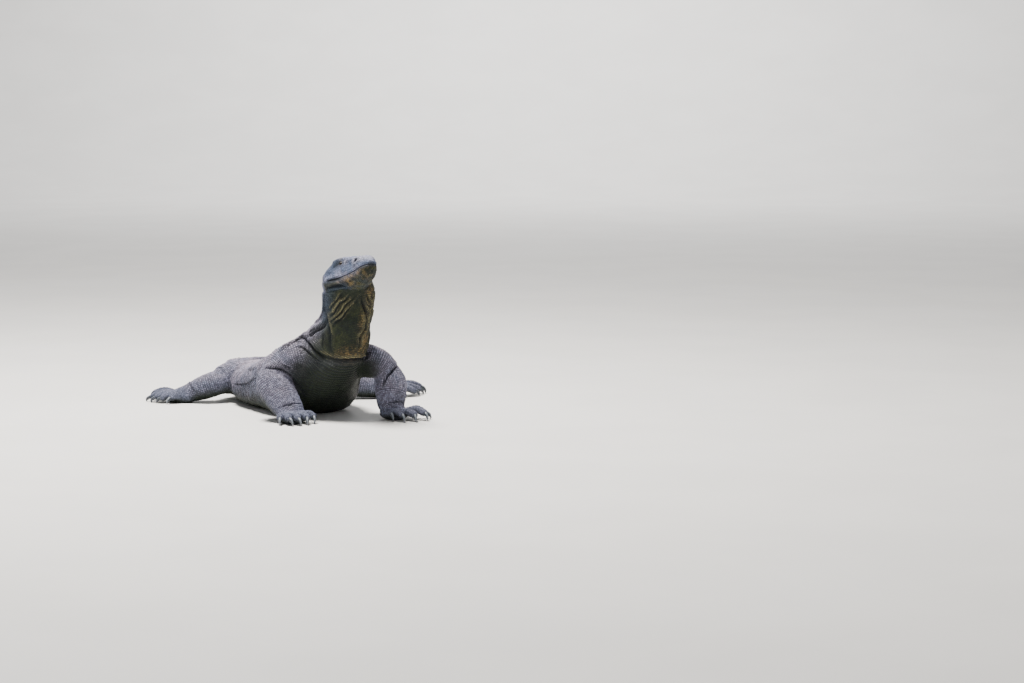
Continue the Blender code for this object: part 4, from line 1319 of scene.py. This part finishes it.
def batch_of(seats, spots, lie, uv, along, across, rise, flat, seed, reach=SEAT_REACH):
    """Everything that scale_piece needs about one field's scales that have a seat."""
    place, normal, hide, far = seats.find(spots)
    dark, bare = hide[:, HIDE_FIELDS.index("dark")], hide[:, -1]
    keep = (bare < 0.5) & (dark < 0.90) & (far < reach) & (place[:, 2] > 0.0025)
    lie = unit(lie - normal * (lie * normal).sum(1)[:, None])
    size = np.array([along * 0.667, across * 0.577, across * rise]) * (1.08, 1.08, 1)
    batch = {"place": place, "normal": normal, "lie": lie, "across": np.cross(normal, lie),
             "hide": hide[:, :-1], "uv": uv, "size": size * (1 - 0.25 * dark)[:, None]}
    return {key: values[keep] for key, values in batch.items()} | {"flat": flat, "seed": seed}


def make_scales(settings):
    """Roots on every tube are carried to the skin, those that another tube covers or that
    lie in an opening are dropped, and a dome is set on each that stays."""
    seats = Seats(bpy.data.objects["skin"].data)
    every = all_tubes()
    numbers = {tube.name: number for number, tube in enumerate(every)}
    rows = {}
    for field in scale_fields(settings):
        rows.setdefault(field.piece, []).append(field)
    pieces = []
    for piece, members in rows.items():
        batches = []
        columns = math.ceil(math.sqrt(len(members) + (6 if piece == "scales_head" else 0)))
        for index, field in enumerate(members):
            number = numbers[field.tube]
            tube = every[number]
            seed = 1000 + 37 * index + number
            rng = np.random.default_rng(seed)
            limb = piece in ("scales_arms", "scales_legs")
            loose = 0.15 if tube.name == "head" else 0.02 if limb else 0.06
            at, angle = rows_on(tube, field.span, field.sector, field.along, field.across, loose, rng)
            spots = on_tube(tube, at, angle, settings.coat_depth)
            reach = SEAT_REACH * (assign(spots, every)[0] == number)
            if tube.name in ("head", "body"):
                reach = np.maximum(reach, SHELF_REACH * (mound(spots, *SHELF) > 0.25))
            lie = rows_at(at, tube.tangent)
            if tube.name == "head":
                lie = -lie
                reach = reach * off_face_rows(spots, settings)
            u, v = ((value - low) / (high - low) for value, (low, high) in (
                (at / (len(tube.reach) - 1), field.span), (angle, field.sector)))
            along = field.along * (0.93 if limb else 1.0)
            batches.append(batch_of(seats, spots, lie, tile_uv(index, columns, u, v), along,
                                    field.across, field.rise, field.flat, seed, reach))
        if piece == "scales_head":
            batches += face_rows(seats, every[numbers["head"]], settings, len(members), columns)
        parts = split_batches(batches, settings.piece_scales)
        for count, part in enumerate(parts, 1):
            pieces.append(scale_piece(piece if len(parts) == 1 else f"{piece}_{count}", part))
    return pieces


def tile_uv(index, columns, u, v):
    """Places on one square of a board of `columns` squares a side, a margin inside it."""
    tile = np.array([index % columns, index // columns])
    return (tile + np.stack([np.clip(u, 0, 1), np.clip(v, 0, 1)], 1) * 0.94 + 0.03) / columns


def face_rows(seats, tube, settings, index, columns):
    """Scales in lines along the lips and in rings round the eyes."""
    groups = (
        (list(lip_lines(tube)), 4.4, 3.9, 0.22, 0.8),
        (list(eye_lines(settings)), 2.3, 2.2, 0.30, 0.3),
    )
    batches = []
    for lines, along, across, rise, flat in groups:
        for number, line in enumerate(lines):
            along_line, lie = paced(line, along * 1e-3)
            u = np.linspace(0, 1, len(along_line))
            uv = tile_uv(index, columns, u, np.full(len(u), (number + 0.5) / len(lines)))
            batches.append(batch_of(seats, along_line, lie, uv, along * 0.82e-3, across * 1e-3,
                                    rise, flat, 4000 + 10 * index + number))
        index += 1
    return batches


def split_batches(batches, limit):
    """Groups batches so that no group holds more than `limit` scales."""
    groups, room = [[]], limit
    for batch in batches:
        count, start = len(batch["place"]), 0
        while start < count:
            take = min(room, count - start)
            part = {key: value[start : start + take] if isinstance(value, np.ndarray) else value
                    for key, value in batch.items()}
            part["seed"] = batch["seed"] + start
            groups[-1].append(part)
            start += take
            room -= take
            if room == 0:
                groups.append([])
                room = limit
    return [group for group in groups if group]


# ---------------------------------------------------------------- eyes and claws


def make_eyes(settings):
    """Each eye: a ball in rings round the way it looks, with the front raised where
    the angle from the look is small."""
    eyes = []
    rings, sides = 40, 48
    tilt = np.linspace(0.0, math.pi, rings)[:, None]
    swell = 1 + 0.05 * bell(tilt / 0.55)
    local = np.stack([np.cos(tilt) * swell * np.ones(sides), np.sin(tilt) * swell * np.cos(turns(sides)),
                      np.sin(tilt) * swell * np.sin(turns(sides))], -1)
    local = np.concatenate([local[1:-1].reshape(-1, 3), local[[0, -1], 0]])
    for label, sign in (("left", 1), ("right", -1)):
        centre, *axes = eye_frame(sign)
        offset = settings.eye_radius * local @ np.array(axes)
        eye = mesh_from_arrays(f"eye_ball_{label}", centre + offset, tube_faces(rings - 2, sides))
        put_field(eye.data, "from_pupil", np.arccos(np.clip(unit(offset) @ axes[0], -1, 1)))
        fix_outward(eye)
        eyes.append((eye, f"eye_{label}"))
    return eyes


def fix_outward(obj):
    """Turns every face of a closed mesh to face out."""
    tool = bmesh.new()
    tool.from_mesh(obj.data)
    bmesh.ops.recalc_face_normals(tool, faces=tool.faces)
    tool.to_mesh(obj.data)
    tool.free()


def claw_grid(tip, outward, sides, rings):
    """A claw: rings along an arc whose pitch falls steadily from its root to its point,
    scaled to end near the floor; the section is an egg, pinched below by two grooves."""
    share = np.linspace(0, 1, rings)
    pitch = math.radians(CLAW_START) - math.radians(CLAW_BEND) * share
    middle = (pitch[1:] + pitch[:-1]) / 2
    step = CLAW_LENGTH / (rings - 1)
    run, dip = (np.r_[0, np.cumsum(step * part)] for part in (np.cos(middle), np.sin(middle)))
    dip *= (tip[2] - CLAW_TIP_HEIGHT) / -dip[-1]
    up = np.array(Z_UP, float)
    root = [tip - outward * back for back in (0.007, 0.004)]
    line = np.concatenate([root, tip + outward * run[:, None] + up * dip[:, None]])
    share = np.r_[0, 0, share]
    tangent = unit(np.gradient(line, axis=0))
    aside = unit(np.cross(tangent, outward + 2 * up))
    top = np.cross(aside, tangent)
    size = (1 - share**2.0) ** 0.8 * 0.97 + 0.03
    size[:2] *= (0.80, 0.92)
    cosine, sine = np.cos(turns(sides)), np.sin(turns(sides))
    pinch = 1 - 0.28 * bell((sine + 0.55) / 0.35) * (np.abs(cosine) > 0.1)
    width = CLAW_WIDE * size[:, None] * (cosine * pinch)
    depth = CLAW_DEEP * size[:, None] * np.where(sine > 0, sine * 1.15, sine)
    return line[:, None] + width[..., None] * aside[:, None] + depth[..., None] * top[:, None], share


def make_claws():
    """One piece for each paw's five claws."""
    pieces = []
    rings, sides = 20, 14
    for paw in PAWS:
        points, faces, fields, start = [], [], [], 0
        for number, digit in enumerate(paw.digits):
            line, outward = digit_line(paw, number, digit)
            grid, share = claw_grid(line[-1], outward, sides, rings)
            points += [grid.reshape(-1, 3), grid[[0, -1]].mean(1)]
            faces.append(tube_faces(len(grid), sides, start))
            ridge = np.tile(np.sin(turns(sides)), len(grid))
            fields += [np.stack([np.repeat(share, sides), ridge]), [[0, 1], [0, 0]]]
            start += len(grid) * sides + 2
        points = np.concatenate(points)
        points[:, 2] = np.maximum(points[:, 2], CLAW_FLOOR)
        claws = mesh_from_arrays(f"claws_{paw.name}", points, np.concatenate(faces))
        for key, values in zip(("length", "ridge"), np.concatenate(fields, 1)):
            put_field(claws.data, key, values)
        fix_outward(claws)
        pieces.append((claws, [f"{paw.name}_claw_{number}" for number in range(1, 6)]))
    return pieces


# ---------------------------------------------------------------- materials


def feed(tree, socket, value):
    """Links a socket to an input, or sets the input to a number or colour."""
    if isinstance(value, bpy.types.NodeSocket):
        tree.links.new(value, socket)
    else:
        socket.default_value = value if np.isscalar(value) else (*tuple(value)[:3], 1)


def node(tree, kind, *values, **settings):
    """A new shader node: its first inputs in order, and properties or inputs by name."""
    made = tree.nodes.new(kind)
    for key, value in settings.items():
        if hasattr(made, key):
            setattr(made, key, value)
        else:
            feed(tree, made.inputs[key.replace("_", " ")], value)
    for socket, value in zip(made.inputs, values):
        feed(tree, socket, value)
    return made


def mix(tree, factor, first, second):
    """A colour mix of two sockets or plain colours by a socket or number."""
    made = node(tree, "ShaderNodeMix", factor, data_type="RGBA")
    feed(tree, made.inputs[6], first)
    feed(tree, made.inputs[7], second)
    return made.outputs[2]


def maths(tree, first, second, operation="MULTIPLY"):
    """One step of arithmetic on sockets or numbers."""
    return node(tree, "ShaderNodeMath", first, second, operation=operation).outputs[0]


def spread(tree, value, low, high, to_low=0.0, to_high=1.0):
    """A value mapped from one range to another, smoothly and clamped."""
    return node(tree, "ShaderNodeMapRange", value, low, high, to_low, to_high,
                interpolation_type="SMOOTHSTEP").outputs[0]


def noise(tree, where, scale, detail=3.0, rough=0.55):
    """Cloudy noise about half, at a scale per metre."""
    made = node(tree, "ShaderNodeTexNoise", where, Scale=scale, Detail=detail, Roughness=rough)
    return made.outputs["Fac"]


HIDE_INPUTS = tuple(name.title() for name in HIDE_FIELDS)


def new_group(name, inputs, outputs):
    """A shader group with named inputs and outputs."""
    group = bpy.data.node_groups.new(name, "ShaderNodeTree")
    for side, sockets in (("INPUT", inputs), ("OUTPUT", outputs)):
        for label, kind in sockets.items():
            group.interface.new_socket(label, in_out=side, socket_type="NodeSocket" + kind)
    return group, group.nodes.new("NodeGroupInput").outputs, group.nodes.new("NodeGroupOutput").inputs


def hide_group(colours):
    """Colour of the hide from where it lies: back and flank, head, paws, throat and
    underside, the last three partly painted shade, with painted shade in the folds and
    hollows, pale rolls that are partly painted highlight, dust with painted sunlight,
    painted blue shade patches and each scale's own tone."""
    inputs = {"Where": "Vector"} | dict.fromkeys((*HIDE_INPUTS, "Crown", "Tone"), "Float")
    group, given, result = new_group(
        "hide", inputs, {"Color": "Color", "Roughness": "Float", "Height": "Float"})
    tint, times, span, cloud = (partial(step, group) for step in (mix, maths, spread, noise))
    where = given["Where"]
    broad = cloud(where, 5.5, 3.0)
    patch = cloud(where, 26.0, 4.0, 0.6)
    mottle = cloud(where, 70.0, 3.0, 0.6)
    fine = cloud(where, 190.0, 3.0, 0.6)
    back = tint(span(broad, 0.38, 0.62), colours.flank, colours.back)
    # dust and painted sunlight: upward-facing skin and the forearms' sunlit patch
    dusty = times(given["Dusty"], span(patch, 0.34, 0.66, 0.10, 0.95))
    back = tint(times(dusty, 0.85), back, colours.dust)
    # paws and limbs: partly their own blue grey, partly painted shade
    back = tint(times(given["Paw"], 0.80), back, colours.paw)
    crown = tint(span(patch, 0.38, 0.62), colours.head, colours.head_shade)
    colour = tint(given["Head"], back, crown)
    olive = tint(span(patch, 0.40, 0.62), colours.throat_dark, colours.throat)
    crest = span(times(given["Pale"], given["Throat"]), 0.15, 0.9, 0.0, 0.80)
    for factor, layer in (
        # throat: its own olive, partly painted shade
        (given["Throat"], olive),
        # underside: partly painted shade
        (given["Under"], colours.under),
        # ochre skin, with the painted sunlit patch above the gular fold
        (times(given["Warm"], span(mottle, 0.40, 0.60, 0.15, 1.0)), colours.ochre),
        # painted shade: the dark blue patches
        (times(given["Shade"], 0.92), colours.shade),
        (times(given["Lift"], 0.75), colours.pale),
        # pale crests: partly paler skin, partly painted highlight
        (crest, colours.roll),
    ):
        colour = tint(factor, colour, layer)
    tone = span(given["Tone"], 0.0, 1.0, 0.70, 1.32)
    tone = times(tone, span(fine, 0.3, 0.7, 0.78, 1.20))
    tone = times(tone, span(mottle, 0.3, 0.7, 0.80, 1.18))
    tinted = node(group, "ShaderNodeVectorMath", colour, operation="SCALE", Scale=tone)
    gap = tint(0.18, colours.gap, colour)
    colour = tint(span(given["Crown"], 0.15, 0.85), gap, tinted.outputs[0])
    grain = node(group, "ShaderNodeTexVoronoi", where, Scale=520.0)
    relief = times(span(grain.outputs["Distance"], 0.0, 0.6, 1.0, 0.0), times(fine, 0.6), "ADD")
    # painted shade: folds and hollows darkened to the gap colour
    feed(group, result["Color"], tint(times(given["Dark"], 0.90), colour, colours.gap))
    feed(group, result["Roughness"], span(given["Crown"], 0.0, 1.0, 0.85, 0.50))
    feed(group, result["Height"], relief)
    return group


def attribute(tree, name):
    """A field stored on the mesh."""
    made = node(tree, "ShaderNodeAttribute", attribute_name=name, attribute_type="GEOMETRY")
    return made.outputs["Fac"]


def new_material(name):
    """A material, its node tree, and the place in the object's own coordinates."""
    material = bpy.data.materials.new(name)
    material.use_nodes = True
    tree = material.node_tree
    return material, tree, tree.nodes.new("ShaderNodeTexCoord").outputs["Object"]


def surface(tree, colour, roughness, gloss=0.5, height=None, strength=0.0, deep=0.0):
    """Feeds the shader with a colour, roughness and gloss, and a bump of a height."""
    shader = tree.nodes["Principled BSDF"]
    feed(tree, shader.inputs["Base Color"], colour)
    feed(tree, shader.inputs["Roughness"], roughness)
    shader.inputs["Specular IOR Level"].default_value = gloss
    if height is not None:
        raised = node(tree, "ShaderNodeBump", Strength=strength, Distance=deep, Height=height)
        tree.links.new(raised.outputs["Normal"], shader.inputs["Normal"])


def hide_material(name, group, on_scale, bump):
    """The hide on the skin or on the scales, which carry their own crown and tone."""
    material, tree, where = new_material(name)
    hide = node(tree, "ShaderNodeGroup", node_tree=group)
    feed(tree, hide.inputs["Where"], where)
    for label in HIDE_INPUTS:
        feed(tree, hide.inputs[label], attribute(tree, label.lower()))
    for label, value in (("Crown", 0.34), ("Tone", 0.5)):
        feed(tree, hide.inputs[label], attribute(tree, label.lower()) if on_scale else value)
    colour, roughness, height = (hide.outputs[key] for key in ("Color", "Roughness", "Height"))
    surface(tree, colour, roughness, 0.22, height, 0.6, bump)
    return material


def eye_material(settings):
    """Round black pupil, streaked brown iris with a pale rim, and a dark white of the eye."""
    material, tree, where = new_material("eye")
    away = attribute(tree, "from_pupil")
    streak = noise(tree, where, 900.0, 4.0, 0.7)
    iris = mix(tree, spread(tree, streak, 0.35, 0.65), settings.iris, settings.iris_light)
    rim = mix(tree, spread(tree, away, 0.36, 0.44), (0.022, 0.014, 0.008), iris)
    colour = mix(tree, spread(tree, away, 0.30, 0.36), (0.004, 0.004, 0.004), rim)
    colour = mix(tree, spread(tree, away, 0.78, 0.92), colour, (0.018, 0.013, 0.010))
    surface(tree, colour, 0.14, 0.30)
    return material


def claw_material(settings):
    """Horn: bluish at the root and darker towards it, paler along the top ridge as horn colour and
    painted highlight, dark at the tip, streaked lengthways.
    """
    material, tree, where = new_material("claw")
    length, ridge = attribute(tree, "length"), attribute(tree, "ridge")
    streak = noise(tree, where, 420.0, 5.0, 0.65)
    side = mix(tree, spread(tree, streak, 0.35, 0.68), settings.claw_side, settings.claw_root)
    # paler along the top: partly horn colour, partly painted highlight
    colour = mix(tree, spread(tree, ridge, 0.55, 1.0), side, settings.claw_ridge)
    # darker towards the root
    darker_near_root = maths(tree, spread(tree, length, 0.24, 0.02), 0.85)
    colour = mix(tree, darker_near_root, colour, (0.045, 0.042, 0.040))
    colour = mix(tree, spread(tree, length, 0.80, 1.0, 0.0, 0.55), colour, (0.09, 0.075, 0.06))
    roughness = spread(tree, streak, 0.3, 0.7, 0.28, 0.46)
    surface(tree, colour, roughness, height=streak, strength=0.35, deep=0.0004)
    return material


def floor_material(settings):
    """Pale matt floor with the faintest mottling."""
    material, tree, where = new_material("floor")
    pale = tuple(settings.floor)
    cloud = spread(tree, noise(tree, where, 1.6, 4.0), 0.35, 0.65)
    colour = mix(tree, cloud, tuple(0.96 * c for c in pale), pale)
    surface(tree, colour, 0.85, height=noise(tree, where, 140.0, 4.0), strength=0.10, deep=0.001)
    return material


# ---------------------------------------------------------------- settings


def length(name, description, default, **more):
    """A length's setting, in metres."""
    return FloatProperty(name=name, description=description, default=default,
                         unit="LENGTH", subtype="DISTANCE", precision=4, **more)


def amount(name, description, default, low=0.0, **more):
    """A plain number's setting."""
    return FloatProperty(name=name, description=description, default=default, min=low, **more)


def number(name, description, default, low, high):
    """A whole number's setting."""
    return IntProperty(name=name, description=description, default=default, min=low, max=high)


def colour(name, description, default):
    """A colour's setting, in linear light."""
    return FloatVectorProperty(name=name, description=description, default=default,
                               subtype="COLOR", size=3, min=0.0, max=1.0)


class DragonShape(bpy.types.PropertyGroup):
    """Sizes of the skin, scales and eyes"""

    voxel: length("Skin Cell", "Size of the cells that join the flesh into one skin", 0.0026)
    coat_depth: length("Coat Depth", "How far the skin lies inside the body's outline", 0.0013)
    lid_thickness: length("Lid Thickness", "Height of the eyelids over the eyeball", 0.0013)
    eye_radius: length("Eye Radius", "Radius of an eyeball", 0.0105)
    wrinkle: amount("Wrinkles", "Strength of the fine wrinkles", 1.0, max=3.0, subtype="FACTOR")
    scale_size: amount("Scale Size", "Size of all scales, 1 for life", 1.0, 0.5,
                       max=3.0, subtype="FACTOR")
    collar_rounds: number("Collar Rounds", "More passes behind the head", 90, 0, 400)
    fillet_rounds: number("Fillet Rounds", "Passes that fill the joints", 84, 0, 200)
    skin_triangles: number("Skin Triangles", "Triangles left in the skin", 190000, 10000, 199000)
    piece_scales: number("Scales per Piece", "Most scales in one mesh", 10800, 100, 11000)


class DragonColours(bpy.types.PropertyGroup):
    """Colours of the hide, eyes, claws and floor"""

    back: colour("Back", "Dusty lilac grey of the back", (0.225, 0.208, 0.280))
    flank: colour("Flank", "Blue grey of the flanks", (0.150, 0.157, 0.225))
    # painted sunlight: this pinkish colour goes on upward-facing skin as dust and top light, and on a
    # sunlit patch of the forearms
    dust: colour("Dust", "Pinkish dust on the scales", (0.350, 0.292, 0.340))
    # also laid over the limbs, partly as painted shade
    paw: colour("Paws", "Hands and feet", (0.108, 0.122, 0.180))
    head: colour("Head", "Top and sides of the head", (0.228, 0.242, 0.345))
    head_shade: colour("Head Shade", "Darker patches of the head", (0.115, 0.145, 0.235))
    # painted shade: dark blue behind and before the eye, on the cheek, at the jaw's corner, on the chin
    # and down the neck's sides
    shade: colour("Temple", "Dark blue patch behind the eye", (0.024, 0.042, 0.072))
    pale: colour("Pale", "Pale snout and lips", (0.400, 0.390, 0.455))
    # partly painted shade: the throat's own olive, made darker and carried round the neck's sides
    throat: colour("Throat", "Olive of the throat", (0.030, 0.038, 0.010))
    throat_dark: colour("Throat Shade", "Dark green brown of the throat", (0.010, 0.016, 0.005))
    # also painted sunlight: the bright ochre patch above the gular fold
    ochre: colour("Ochre", "Ochre skin of the throat, chin and lower lip", (0.330, 0.215, 0.075))
    # partly painted highlight: pale crests of the folds, stronger on their upper side
    roll: colour("Throat Rolls", "Pale crests of the throat's folds", (0.210, 0.190, 0.095))
    # partly painted shade: near black on downward-facing skin and on the chest under the neck
    under: colour("Underside", "Chest and belly", (0.007, 0.012, 0.005))
    # also the painted shade of folds, hollows, the mouth's line, nostrils, ears and eye openings
    gap: colour("Gaps", "Skin between the scales", (0.014, 0.017, 0.022))
    iris: colour("Iris", "Dark of the iris", (0.007, 0.005, 0.004))
    iris_light: colour("Iris Streaks", "Light streaks of the iris", (0.020, 0.012, 0.006))
    claw_root: colour("Claw Root", "Bluish horn near the digit", (0.048, 0.058, 0.076))
    claw_side: colour("Claw Sides", "Sides of the claws", (0.022, 0.027, 0.036))
    # partly painted highlight along the top of each claw
    claw_ridge: colour("Claw Ridge", "Pale ridge of the claws", (0.145, 0.162, 0.185))
    floor: colour("Floor", "Studio floor", (0.800, 0.780, 0.750))


class DragonStage(bpy.types.PropertyGroup):
    """Sizes and lights of the studio"""

    floor_radius: length("Floor Radius", "Flat part of the studio floor", 14.0)
    key_power: amount("Key Light", "Large soft light from above", 900.0, unit="POWER")
    fill_power: amount("Fill Light", "Weak light from the camera's side", 70.0, unit="POWER")
    backdrop_power: amount("Backdrop Light", "Light on the floor behind", 1500.0, unit="POWER")
    sky: amount("Surround", "Strength of the even surrounding light", 0.30, max=5.0)


# ---------------------------------------------------------------- operators


def hide_nodes():
    """The hide's group and its two materials, made once."""
    group = bpy.data.node_groups.get("hide") or hide_group(bpy.context.scene.dragon_colours)
    skin = bpy.data.materials.get("hide_skin") or hide_material("hide_skin", group, False, 0.0010)
    scale = bpy.data.materials.get("hide_scale") or hide_material("hide_scale", group, True, 0.0003)
    return skin, scale


class DRAGON_OT_skin(bpy.types.Operator):
    """Build the one skin that covers all the flesh"""

    bl_idname = "dragon.skin"
    bl_label = "Skin"

    def execute(self, context):
        skin = make_skin(context.scene.dragon_shape)
        skin.data.materials.clear()
        skin.data.materials.append(hide_nodes()[0])
        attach(skin, "root")
        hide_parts(*FLESH)
        return {"FINISHED"}


class DRAGON_OT_scales(bpy.types.Operator):
    """Set beaded scales on the skin"""

    bl_idname = "dragon.scales"
    bl_label = "Scales"

    def execute(self, context):
        if "skin" not in bpy.data.objects:
            raise RuntimeError("the scales need the skin")
        slots = {"neck": "throat_hide", "head": "head_hide", "arms": "leg_hide",
                 "legs": "leg_hide", "paws": "leg_hide"}
        for piece in make_scales(context.scene.dragon_shape):
            piece.data.materials.append(hide_nodes()[1])
            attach(piece, "root")
            slots.get(piece.name.split("_")[1], "body_hide")
        return {"FINISHED"}


class DRAGON_OT_eyes(bpy.types.Operator):
    """Build both eyeballs"""

    bl_idname = "dragon.eyes"
    bl_label = "Eyes"

    def execute(self, context):
        material = eye_material(context.scene.dragon_colours)
        for eye, replaced in make_eyes(context.scene.dragon_shape):
            eye.data.materials.append(material)
            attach(eye, "root")
            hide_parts(replaced)
        return {"FINISHED"}


class DRAGON_OT_claws(bpy.types.Operator):
    """Build the claws of every hand and foot"""

    bl_idname = "dragon.claws"
    bl_label = "Claws"

    def execute(self, context):
        material = claw_material(context.scene.dragon_colours)
        for claws, replaced in make_claws():
            claws.data.materials.append(material)
            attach(claws, "root")
            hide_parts(*replaced)
        return {"FINISHED"}


def area_light(name, place, target, size, power, tint=(1, 1, 1)):
    """A round soft light at a place, turned to a target."""
    light = bpy.data.lights.new(name, "AREA")
    light.shape = "DISK"
    light.size = size
    light.energy = power
    light.color = tint
    obj = add_object(name, light)
    obj.location = place
    obj.rotation_euler = (Vector(target) - Vector(place)).to_track_quat("-Z", "Y").to_euler()


def floor_mesh(stage):
    """The floor: flat to its radius, then rising to a backdrop as a cubic ramp."""
    start = stage.floor_radius
    reach = np.r_[np.linspace(0.05, start, 24), start + np.linspace(0.4, BACKDROP_RUN, 24)][:, None]
    turn = turns(FLOOR_SIDES)
    height = BACKDROP_RISE * ramp(start, start + BACKDROP_RUN, reach)
    rings = np.stack([reach * np.cos(turn), reach * np.sin(turn), height + 0 * turn], -1)
    points = np.concatenate([rings.reshape(-1, 3), [[0, 0, 0]]])
    inner = fans(len(reach), FLOOR_SIDES)[:FLOOR_SIDES]
    faces = np.concatenate([halves(grid_faces(len(reach), FLOOR_SIDES)), inner])
    return mesh_from_arrays("floor", points, faces)


class DRAGON_OT_stage(bpy.types.Operator):
    """Build the floor, lights and camera"""

    bl_idname = "dragon.stage"
    bl_label = "Stage"

    def execute(self, context):
        scene, stage = context.scene, context.scene.dragon_stage
        floor = floor_mesh(stage)
        floor.data.materials.append(floor_material(scene.dragon_colours))

        scene.world = bpy.data.worlds.new("studio")
        scene.world.use_nodes = True
        background = scene.world.node_tree.nodes["Background"]
        background.inputs["Color"].default_value = (0.93, 0.96, 1.0, 1)
        background.inputs["Strength"].default_value = stage.sky
        middle = (0.0, 0.0, 0.2)
        area_light("key", (-1.0, 0.2, 5.2), middle, 1.8, stage.key_power, (1.0, 0.97, 0.93))
        area_light("backdrop", (8.5, 13.0, 8.0), (8.5, 13.0, 0.0), 7.0, stage.backdrop_power)
        area_light("fill", (-5.0, -5.5, 3.2), middle, 3.5, stage.fill_power, (0.92, 0.96, 1.0))

        lens = bpy.data.cameras.new("camera")
        lens.lens = 85
        lens.sensor_width = 36
        lens.clip_end = 200
        scene.camera = add_object("camera", lens)
        scene.camera.location = (-3.814, -8.240, 1.31)
        heading = Vector((0.4944, 0.8615, -0.1154))
        scene.camera.rotation_euler = heading.to_track_quat("-Z", "Y").to_euler()
        return {"FINISHED"}


class DRAGON_PT_panel(bpy.types.Panel):
    """Sizes, colours and steps of the dragon"""

    bl_idname = "DRAGON_PT_panel"
    bl_label = "Komodo Dragon"
    bl_space_type = "VIEW_3D"
    bl_region_type = "UI"
    bl_category = "Dragon"

    def draw(self, context):
        for step in STEPS:
            self.layout.operator(step.bl_idname)
        for name in SETTINGS:
            box = self.layout.box()
            group = getattr(context.scene, name)
            for key in type(group).__annotations__:
                box.prop(group, key)


STEPS = (DRAGON_OT_skin, DRAGON_OT_scales, DRAGON_OT_eyes, DRAGON_OT_claws, DRAGON_OT_stage)
SETTINGS = {"dragon_shape": DragonShape, "dragon_colours": DragonColours, "dragon_stage": DragonStage}


def register():
    """Adds the settings, steps and panel to Blender."""
    for group in (*SETTINGS.values(), *STEPS, DRAGON_PT_panel):
        bpy.utils.register_class(group)
    for name, group in SETTINGS.items():
        setattr(bpy.types.Scene, name, PointerProperty(type=group))


def unregister():
    """Takes the settings, steps and panel out again."""
    for name in SETTINGS:
        delattr(bpy.types.Scene, name)
    for group in reversed((*SETTINGS.values(), *STEPS, DRAGON_PT_panel)):
        bpy.utils.unregister_class(group)


def main():
    """Runs every step in order."""
    register()
    for step in STEPS:
        area, name = step.bl_idname.split(".")
        getattr(getattr(bpy.ops, area), name)()


if __name__ == "__main__":
    main()
